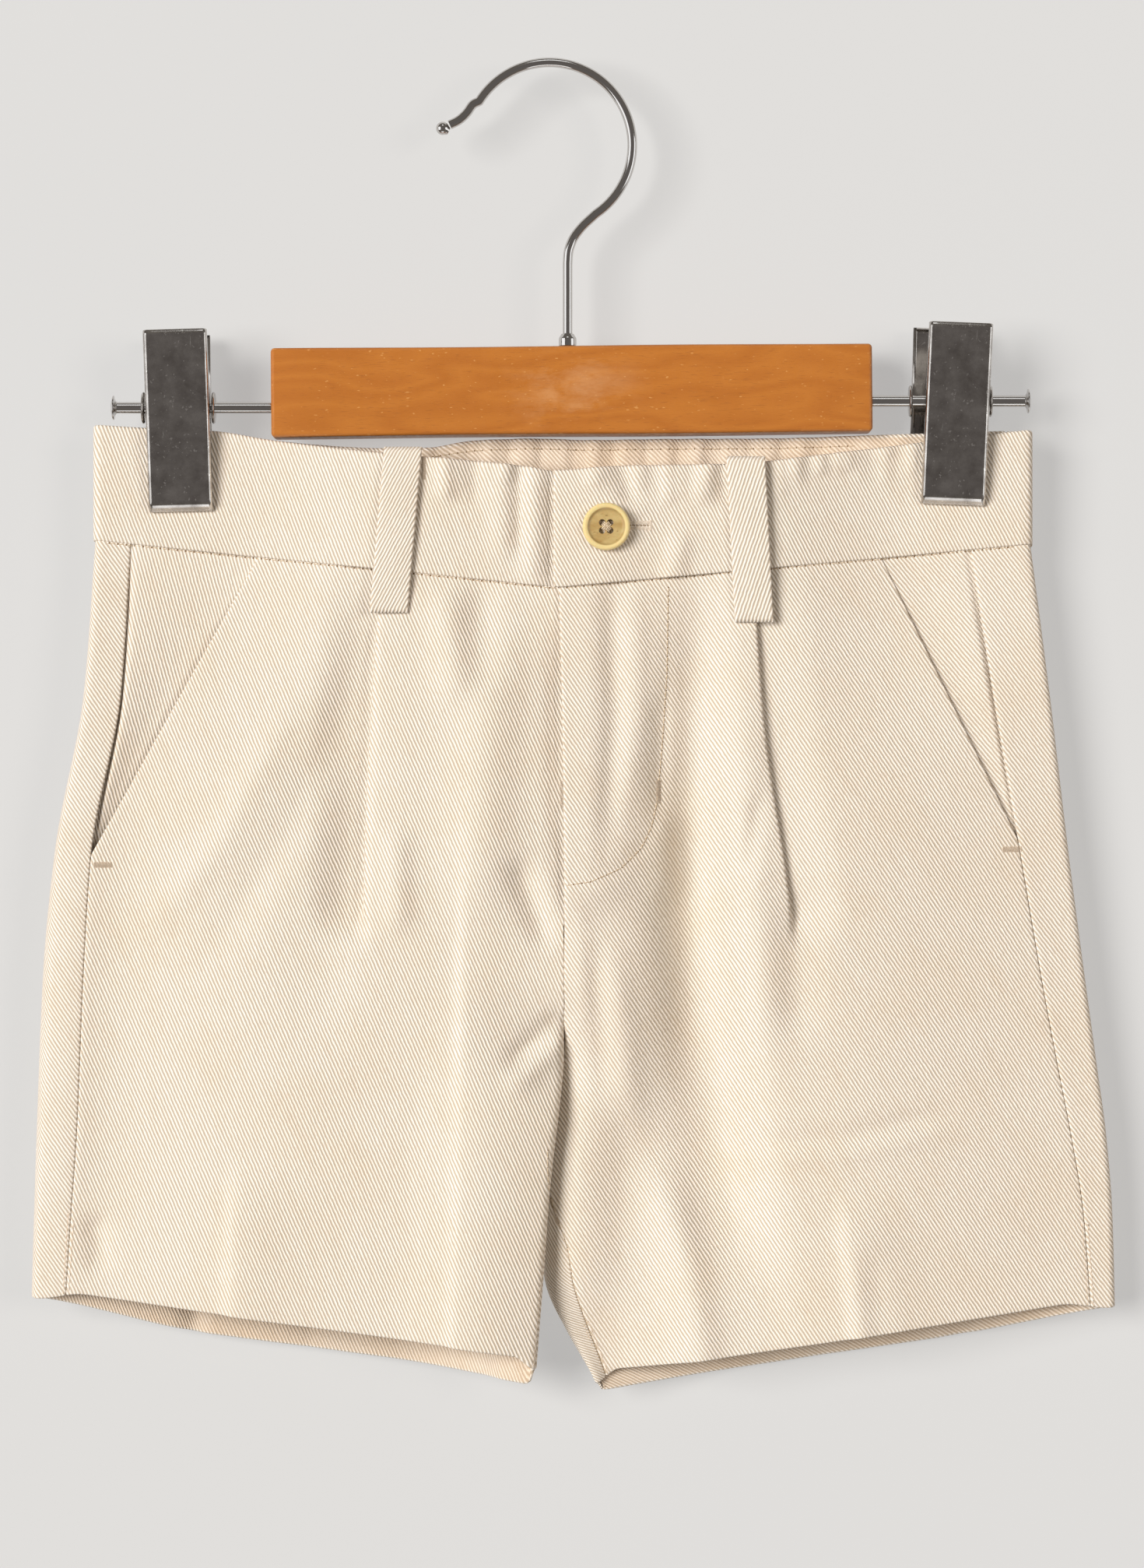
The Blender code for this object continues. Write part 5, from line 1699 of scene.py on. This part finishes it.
def revolved(profile, steps):
    """A closed solid of a profile of (radius, height) turned about Z."""
    mesh = bmesh.new()
    verts = []
    for radius, height in profile:
        for angle in np.linspace(0.0, 2 * math.pi, steps + 1)[:-1]:
            point = (radius * math.cos(angle), radius * math.sin(angle), height)
            verts.append(mesh.verts.new(np.array(point) * MM))
    for face in ring_faces(len(profile), steps):
        mesh.faces.new([verts[i] for i in face])
    bmesh.ops.remove_doubles(mesh, verts=mesh.verts, dist=1e-6)
    bmesh.ops.dissolve_degenerate(mesh, dist=1e-7, edges=mesh.edges)
    bmesh.ops.recalc_face_normals(mesh, faces=mesh.faces)
    return mesh


def rounded(profile, radius, steps=4):
    """A profile with its inner corners rounded."""
    result = [profile[0]]
    for before, corner, after in zip(profile, profile[1:], profile[2:]):
        before, corner, after = (np.array(p, float) for p in (before, corner, after))
        to_before, to_after = before - corner, after - corner
        reach = min(radius, 0.45 * np.linalg.norm(to_before), 0.45 * np.linalg.norm(to_after))
        start = corner + to_before / np.linalg.norm(to_before) * reach
        end = corner + to_after / np.linalg.norm(to_after) * reach
        for i in range(steps + 1):
            t = i / steps
            point = (1 - t) ** 2 * start + 2 * t * (1 - t) * corner + t * t * end
            result.append(tuple(point))
    return result + [profile[-1]]


def solid(name, mesh, nodes, maker, smooth_angle=40.0):
    """A piece from a bmesh, shaded smooth but for its sharp edges."""
    data = bpy.data.meshes.new(name)
    mesh.to_mesh(data)
    mesh.free()
    data.shade_smooth()
    data.set_sharp_from_angle(angle=math.radians(smooth_angle))
    data.materials.append(material(maker.__name__, maker))
    return piece(name, data, nodes)


class SHORTS_OT_button(bpy.types.Operator):
    """Adds the four-hole button with its raised rim and the threads that hold it."""

    bl_idname = "shorts.add_button"
    bl_label = "Button"

    def execute(self, context):
        low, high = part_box("button")
        centre = (low + high) / 2
        steps = 72
        mesh = revolved(rounded(BUTTON_SECTION, 0.5), steps)
        made = solid("button_horn", mesh, ["button"], horn)
        made.location = (centre.x, high.y, centre.z)
        made.rotation_euler = (math.radians(90), 0.0, 0.0)
        cut_mesh = bpy.data.meshes.new("cut")
        cut = revolved(BUTTON_HOLE_SECTION, 20)
        cut.to_mesh(cut_mesh)
        cut.free()
        cutters = []
        for degrees in (45, 135, 225, 315):
            angle = math.radians(degrees)
            offset = Vector((math.cos(angle), 0.0, math.sin(angle))) * BUTTON_HOLES_OUT * MM
            cutter = added("cut", cut_mesh, made.location + offset)
            cutter.rotation_euler = made.rotation_euler
            modifier = made.modifiers.new("Hole", "BOOLEAN")
            modifier.operation = "DIFFERENCE"
            modifier.solver = "EXACT"
            modifier.object = cutter
            cutters.append(cutter)
        graph = context.evaluated_depsgraph_get()
        made.data = bpy.data.meshes.new_from_object(made.evaluated_get(graph))
        made.modifiers.clear()
        for cutter in cutters:
            bpy.data.objects.remove(cutter)
        made.data.set_sharp_from_angle(angle=math.radians(40))

        # Two bundles of three threads cross on the button's sunk face
        front = low.y / MM + BUTTON_THREAD_IN
        x, z = centre.x / MM, centre.z / MM
        held = []
        for across, up in ((1.0, 1.0), (1.0, -1.0)):
            for shift in (-0.32, 0.0, 0.32):
                start = (x - across * 0.95 + shift * up, front, z - up * 0.95 - shift)
                end = (x + across * 0.95 + shift * up, front, z + up * 0.95 - shift)
                held.append(stitch(start, end, 0.2, -1))
        thread_piece("button_thread", held, thread)
        return {"FINISHED"}


class SHORTS_OT_bar(bpy.types.Operator):
    """Adds the hanger's varnished wooden bar."""

    bl_idname = "shorts.add_bar"
    bl_label = "Wooden bar"

    def execute(self, context):
        mesh = bmesh.new()
        bmesh.ops.create_cube(mesh, size=1.0)
        bmesh.ops.scale(mesh, vec=Vector(BAR_SIZE) * MM, verts=mesh.verts)
        bmesh.ops.bevel(
            mesh, geom=mesh.edges[:], offset=BAR_EDGE * MM, segments=5, profile=0.5,
            affect="EDGES",
        )
        bmesh.ops.subdivide_edges(
            mesh, edges=[e for e in mesh.edges if e.calc_length() > 0.05], cuts=12,
            use_grid_fill=True,
        )
        # Worn edges wander a little, and the long faces are planed slightly hollow
        for vert in mesh.verts:
            x = vert.co.x / MM
            vert.co.y += 0.12 * MM * math.sin(0.045 * x + 0.6) * (vert.co.y / (6.0 * MM))
            vert.co.z += 0.10 * MM * math.sin(0.06 * x) * (vert.co.z / (12.0 * MM))
        bar = solid("bar_beech", mesh, ["bar"], varnished_beech, 60.0)
        bar.location = Vector((BAR_X, 0.0, BAR_Z)) * MM
        bar.rotation_euler = (0.0, -BAR_TILT, 0.0)
        return {"FINISHED"}


class SHORTS_OT_hook(bpy.types.Operator):
    """Adds the wire hook with its ball end and collar."""

    bl_idname = "shorts.add_hook"
    bl_label = "Hook"

    def execute(self, context):
        arc = []
        count = 96
        for step in range(count + 1):
            angle = math.radians(mix(*HOOK_DEGREES, step / count))
            arc.append((
                HOOK_ARC * math.cos(angle), HOOK_WIRE - HOOK_ARC + HOOK_ARC * math.sin(angle)
            ))
        top = BAR_Z + BAR_SIZE[2] / 2
        end = (HOOK_SHAFT[-1][0], top + COLLAR_HEIGHT + 0.4)
        route = [*smoothed(HOOK_TIP + tuple(arc[:1])), *arc[1:-1],
                 *smoothed(tuple(arc[-1:]) + HOOK_SHAFT), end]
        route = [(x, 0.0, z) for x, z in route]
        piece("hook_wire", wire("hook_wire", route, HOOK_WIRE, 8, chrome), ["hook"])

        ball = [(0.0, -1.9), (0.9, -1.9), (1.2, -1.5)]
        for degrees in range(-45, 91, 9):
            angle = math.radians(degrees)
            ball.append((HOOK_TIP_RADIUS * math.cos(angle), HOOK_TIP_RADIUS * math.sin(angle)))
        tip = solid("hook_ball", revolved(ball, 40), ["hook_tip"], chrome, 30.0)
        low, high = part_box("hook_tip")
        tip.location = (low + high) / 2
        tip.rotation_euler = (0.0, math.radians(-63.0), 0.0)

        profile = (
            (1.45, 0.35), (2.0, 0.0), (COLLAR_RADIUS, 0.0), (COLLAR_RADIUS, COLLAR_HEIGHT - 1.2),
            (COLLAR_RADIUS - 0.75, COLLAR_HEIGHT), (1.45, COLLAR_HEIGHT), (1.45, 0.35),
        )
        mesh = revolved(rounded(profile, 0.3), 48)
        collar = solid("hook_collar", mesh, ["collar"], chrome, 35.0)
        low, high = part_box("collar")
        collar.location = ((low.x + high.x) / 2, 0.0, low.z)
        return {"FINISHED"}


def wire(name, route, radius, resolution, maker):
    """A wire of this radius along a route of points."""
    data = bpy.data.curves.new(name, "CURVE")
    data.dimensions = "3D"
    data.bevel_depth = radius * MM
    data.bevel_resolution = resolution
    data.use_fill_caps = True
    spline = data.splines.new("POLY")
    spline.points.add(len(route) - 1)
    for point, place in zip(spline.points, route):
        point.co = (*(np.array(place) * MM), 1.0)
    data.materials.append(material(maker.__name__, maker))
    return data


def smoothed(points):
    """A short line of (x, z) points with four steps between each two."""
    points = np.array(points, float)
    where = np.arange(len(points), dtype=float)
    rows = [(w, *p) for w, p in zip(where, points)]
    at = np.linspace(0.0, where[-1], 4 * (len(points) - 1) + 1)
    return list(zip(along(rows, at, 1), along(rows, at, 2)))


class SHORTS_OT_rods(bpy.types.Operator):
    """Adds the two rods that the clips slide on."""

    bl_idname = "shorts.add_rods"
    bl_label = "Rods"

    def execute(self, context):
        for side_name, side in SIDES.items():
            low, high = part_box("rod_" + side_name)
            length = (high.x - low.x) / MM
            profile = (
                (0.0, -1.0), (ROD_RADIUS, -1.0), (ROD_RADIUS, length - 1.5),
                (HEAD_RADIUS * 0.72, length - 1.05), (HEAD_RADIUS, length - 0.9),
                (HEAD_RADIUS, length - 0.55), (HEAD_RADIUS * 0.6, length - 0.12),
                (0.0, length),
            )
            mesh = revolved(rounded(profile, 0.3), 48)
            rod = solid("rod_pin_" + side_name, mesh, ["rod_" + side_name], chrome)
            start = high.x if side < 0 else low.x
            rod.location = (start, 0.0, (low.z + high.z) / 2)
            rod.rotation_euler = (0.0, side * math.radians(90), 0.0)
        return {"FINISHED"}


def jaw_section(depth, side_depth, corner):
    """A jaw's section: side, rounded corner, plate, rounded corner and side."""
    half = CLIP_WIDTH / 2
    turn = np.radians(np.linspace(180.0, 270.0, 7))
    corner = min(corner, 0.9 * side_depth)
    left = [(-half, depth + side_depth), (-half, depth + mix(side_depth, corner, 0.5))]
    left += [(-half + corner + corner * math.cos(a), depth + corner + corner * math.sin(a))
             for a in turn]
    across = [(x, depth) for x in np.linspace(-half + corner, half - corner, 12)[1:-1]]
    return left + across + [(-x, y) for x, y in left[::-1]]


def jaw(name, front, shift):
    """One jaw: a plate with its sides turned back, a rolled top edge and a bitten-in lip.

    The rear jaw faces the other way and stands aside by the shift.
    """
    rows = sorted(CLIP_PROFILE)
    bottom, top = rows[0][0], rows[-1][0]
    heights = np.concatenate([
        np.linspace(top, top - 1.2, 5)[:-1], np.linspace(top - 1.2, CLIP_LIP, 44),
        np.linspace(CLIP_LIP - 0.2, bottom, 8),
    ])
    grid = []
    for z in heights:
        depth, side_depth = float(along(rows, z, 1)), float(along(rows, z, 2))
        # The plate bows out a little along its length and dips where it was pressed
        bow = 0.12 * math.sin(math.pi * (z + 28.0) / 48.0)
        rolled = 0.55 * max(0.0, 1.0 - (top - z) / 1.2) ** 2
        section = jaw_section(depth - bow + rolled, side_depth, CLIP_CORNER)
        grid.append([(x, y, z) for x, y in section])
    grid = np.array(grid)
    if not front:
        grid = grid * np.array([1.0, -1.0, 1.0]) - np.array([shift, 0.0, 0.0])
    mesh = bpy.data.meshes.new(name)
    faces = grid_faces(len(grid), len(grid[0]), front)
    mesh.from_pydata((grid.reshape(-1, 3) * MM).tolist(), [], faces.tolist())
    mesh.shade_smooth()
    mesh.materials.append(material("worn_chrome", worn_chrome))
    return mesh


def coil(name, length):
    """A torsion spring wound about X, its two legs lying against the jaws."""
    count = 20 * COIL_TURNS
    points = []
    for i in range(count + 1):
        angle = 2 * math.pi * COIL_TURNS * i / count
        x = length * (i / count - 0.5)
        points.append((x, COIL_RADIUS * math.cos(angle), COIL_RADIUS * math.sin(angle)))
    out, up = COIL_LEGS
    route = [(points[0][0], -out, up), *points, (points[-1][0], out, up)]
    return wire(name, route, COIL_WIRE, 3, spring_steel)


class SHORTS_OT_clips(bpy.types.Operator):
    """Adds the two spring clips: jaws, coil springs and the washers at their sides."""

    bl_idname = "shorts.add_clips"
    bl_label = "Clips"

    def execute(self, context):
        for side_name, x, lean, shift in CLIPS:
            z = BAR_Z + ROD_DROP + math.tan(BAR_TILT) * (x - BAR_X)
            place = Vector((x, 0.0, z)) * MM
            for which in ("front", "rear"):
                name = f"jaw_{which}_{side_name}"
                data = jaw(name, which == "front", shift)
                made = piece(name, data, [f"clip_{which}_{side_name}"])
                made.location = place
                made.rotation_euler = (0.0, -math.radians(lean), 0.0)
                plate = made.modifiers.new("Plate", "SOLIDIFY")
                plate.thickness = CLIP_SHEET * MM
                plate.offset = 0.0
                edge = made.modifiers.new("Eased edges", "BEVEL")
                edge.width = 0.14 * MM
                edge.segments = 2
                edge.limit_method = "ANGLE"
                edge.angle_limit = math.radians(50)
            low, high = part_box("spring_" + side_name)
            data = coil("coil_" + side_name, (high.x - low.x) / MM - 1.0)
            spring = piece("coil_" + side_name, data, ["spring_" + side_name])
            spring.location = (low + high) / 2
            for end_name in ("outer", "inner"):
                ear = f"ear_{end_name}_{side_name}"
                low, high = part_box(ear)
                thick = (high.x - low.x) / MM / 2
                outer = (high.z - low.z) / MM / 2
                profile = (
                    (ROD_RADIUS + 0.1, -thick), (outer - 0.3, -thick), (outer, -0.1),
                    (outer, 0.1), (outer - 0.3, thick), (ROD_RADIUS + 1.2, thick),
                    (ROD_RADIUS + 0.9, 0.75 * thick), (ROD_RADIUS + 0.1, 0.75 * thick),
                    (ROD_RADIUS + 0.1, -thick),
                )
                mesh = revolved(rounded(profile, 0.15, 2), 48)
                name = f"washer_{end_name}_{side_name}"
                made = solid(name, mesh, [ear], worn_chrome)
                made.location = (low + high) / 2
                made.rotation_euler = (0.0, math.radians(90), 0.0)
        return {"FINISHED"}


def card(name, size, place, turn, maker):
    """A square of the room, upright and facing the viewer or the wall until it is turned."""
    data = bpy.data.meshes.new(name)
    half = size / 2
    corners = [(-half, 0, -half), (half, 0, -half), (half, 0, half), (-half, 0, half)]
    data.from_pydata(corners, [], [(0, 1, 2, 3)])
    data.materials.append(material(maker.__name__, maker))
    made = added(name, data, place)
    made.rotation_euler = turn
    return made


def area_light(name, place, target, size, power, colour):
    """A round soft light that points at its target."""
    data = bpy.data.lights.new(name, "AREA")
    data.shape = "DISK"
    data.size = size
    data.energy = power
    data.color = linear(colour)[:3]
    lamp = added(name, data, place)
    # Polished metal mirrors the room and not the lamps
    lamp.visible_glossy = False
    lamp.rotation_euler = (Vector(target) - Vector(place)).to_track_quat("-Z", "Y").to_euler()


class SHORTS_OT_stage(bpy.types.Operator):
    """Adds the wall, the lights and the camera."""

    bl_idname = "shorts.add_stage"
    bl_label = "Wall, lights and camera"

    def execute(self, context):
        setup = context.scene.studio_setup
        card("wall", 2.4, (0.0, setup.wall_distance, -0.2), (0.0, 0.0, 0.0), painted_wall)
        quarter = math.radians(90)
        mirrored = (
            ("dark_room", 1.5, (0.0, -1.45, -0.2), (0.0, 0.0, 0.0), dark_room),
            ("window_left", 1.2, (-1.25, -0.75, -0.1), (0.0, 0.0, -0.6 * quarter), window),
            ("window_right", 0.8, (1.3, -0.6, -0.1), (0.0, 0.0, 0.7 * quarter), window),
            ("window_above", 0.4, (0.0, -0.8, 1.0), (-0.55 * quarter, 0.0, 0.0), window),
            ("window_below", 0.8, (0.0, -0.2, -1.3), (0.9 * quarter, 0.0, 0.0), window),
        )
        for row in mirrored:
            made = card(*row)
            made.visible_camera = made.visible_diffuse = made.visible_shadow = False
            made.visible_transmission = made.visible_volume_scatter = False
        lights = (
            ("key", (-7.5, -9.4, 1.4), (0.0, 0.0, -0.2), 6.6, setup.key_power, "#FFFCF8"),
            ("fill", (2.4, -3.0, 0.3), (0.0, 0.0, -0.25), 1.6, setup.fill_power, "#FFF6EC"),
        )
        for row in lights:
            area_light(*row)
        world = bpy.data.worlds.new("room")
        world.use_nodes = True
        back = world.node_tree.nodes["Background"]
        back.inputs["Color"].default_value = linear("#FFF5EA")
        back.inputs["Strength"].default_value = setup.sky_strength
        context.scene.world = world
        data = bpy.data.cameras.new("camera")
        data.lens = setup.lens
        data.sensor_width = 36.0
        data.clip_start = 0.01
        camera = added("camera", data, (CAMERA_X, -setup.camera_distance, CAMERA_Z))
        camera.rotation_euler = (math.radians(90), 0.0, 0.0)
        context.scene.camera = camera
        context.scene.view_settings.view_transform = "Standard"
        context.scene.view_settings.look = "None"
        return {"FINISHED"}


GROUPS = (
    ("shorts_cloth", ShortsCloth),
    ("hanger_finish", HangerFinish),
    ("studio_setup", StudioSetup),
)
OPERATORS = (
    SHORTS_OT_fronts, SHORTS_OT_backs, SHORTS_OT_pockets, SHORTS_OT_waistband, SHORTS_OT_loops,
    SHORTS_OT_stitching, SHORTS_OT_button, SHORTS_OT_bar, SHORTS_OT_hook, SHORTS_OT_rods,
    SHORTS_OT_clips, SHORTS_OT_stage,
)


class VIEW3D_PT_shorts(bpy.types.Panel):
    """Lists the sizes, the colours and the pieces."""

    bl_label = "Bermuda shorts"
    bl_space_type = "VIEW_3D"
    bl_region_type = "UI"
    bl_category = "Shorts"

    def draw(self, context):
        layout = self.layout
        for name, group in GROUPS:
            box = layout.box()
            for key in group.__annotations__:
                box.prop(getattr(context.scene, name), key)
        for operator in OPERATORS:
            layout.operator(operator.bl_idname)


def register():
    """Adds the property groups, the operators and the panel."""
    for name, group in GROUPS:
        bpy.utils.register_class(group)
        setattr(bpy.types.Scene, name, bpy.props.PointerProperty(type=group))
    for made in (*OPERATORS, VIEW3D_PT_shorts):
        bpy.utils.register_class(made)


def unregister():
    """Takes them out again."""
    for made in reversed((*OPERATORS, VIEW3D_PT_shorts)):
        bpy.utils.unregister_class(made)
    for name, group in reversed(GROUPS):
        delattr(bpy.types.Scene, name)
        bpy.utils.unregister_class(group)


def main():
    """Builds everything."""
    register()
    for operator in OPERATORS:
        getattr(bpy.ops.shorts, operator.bl_idname.split(".")[1])()


if __name__ == "__main__":
    main()
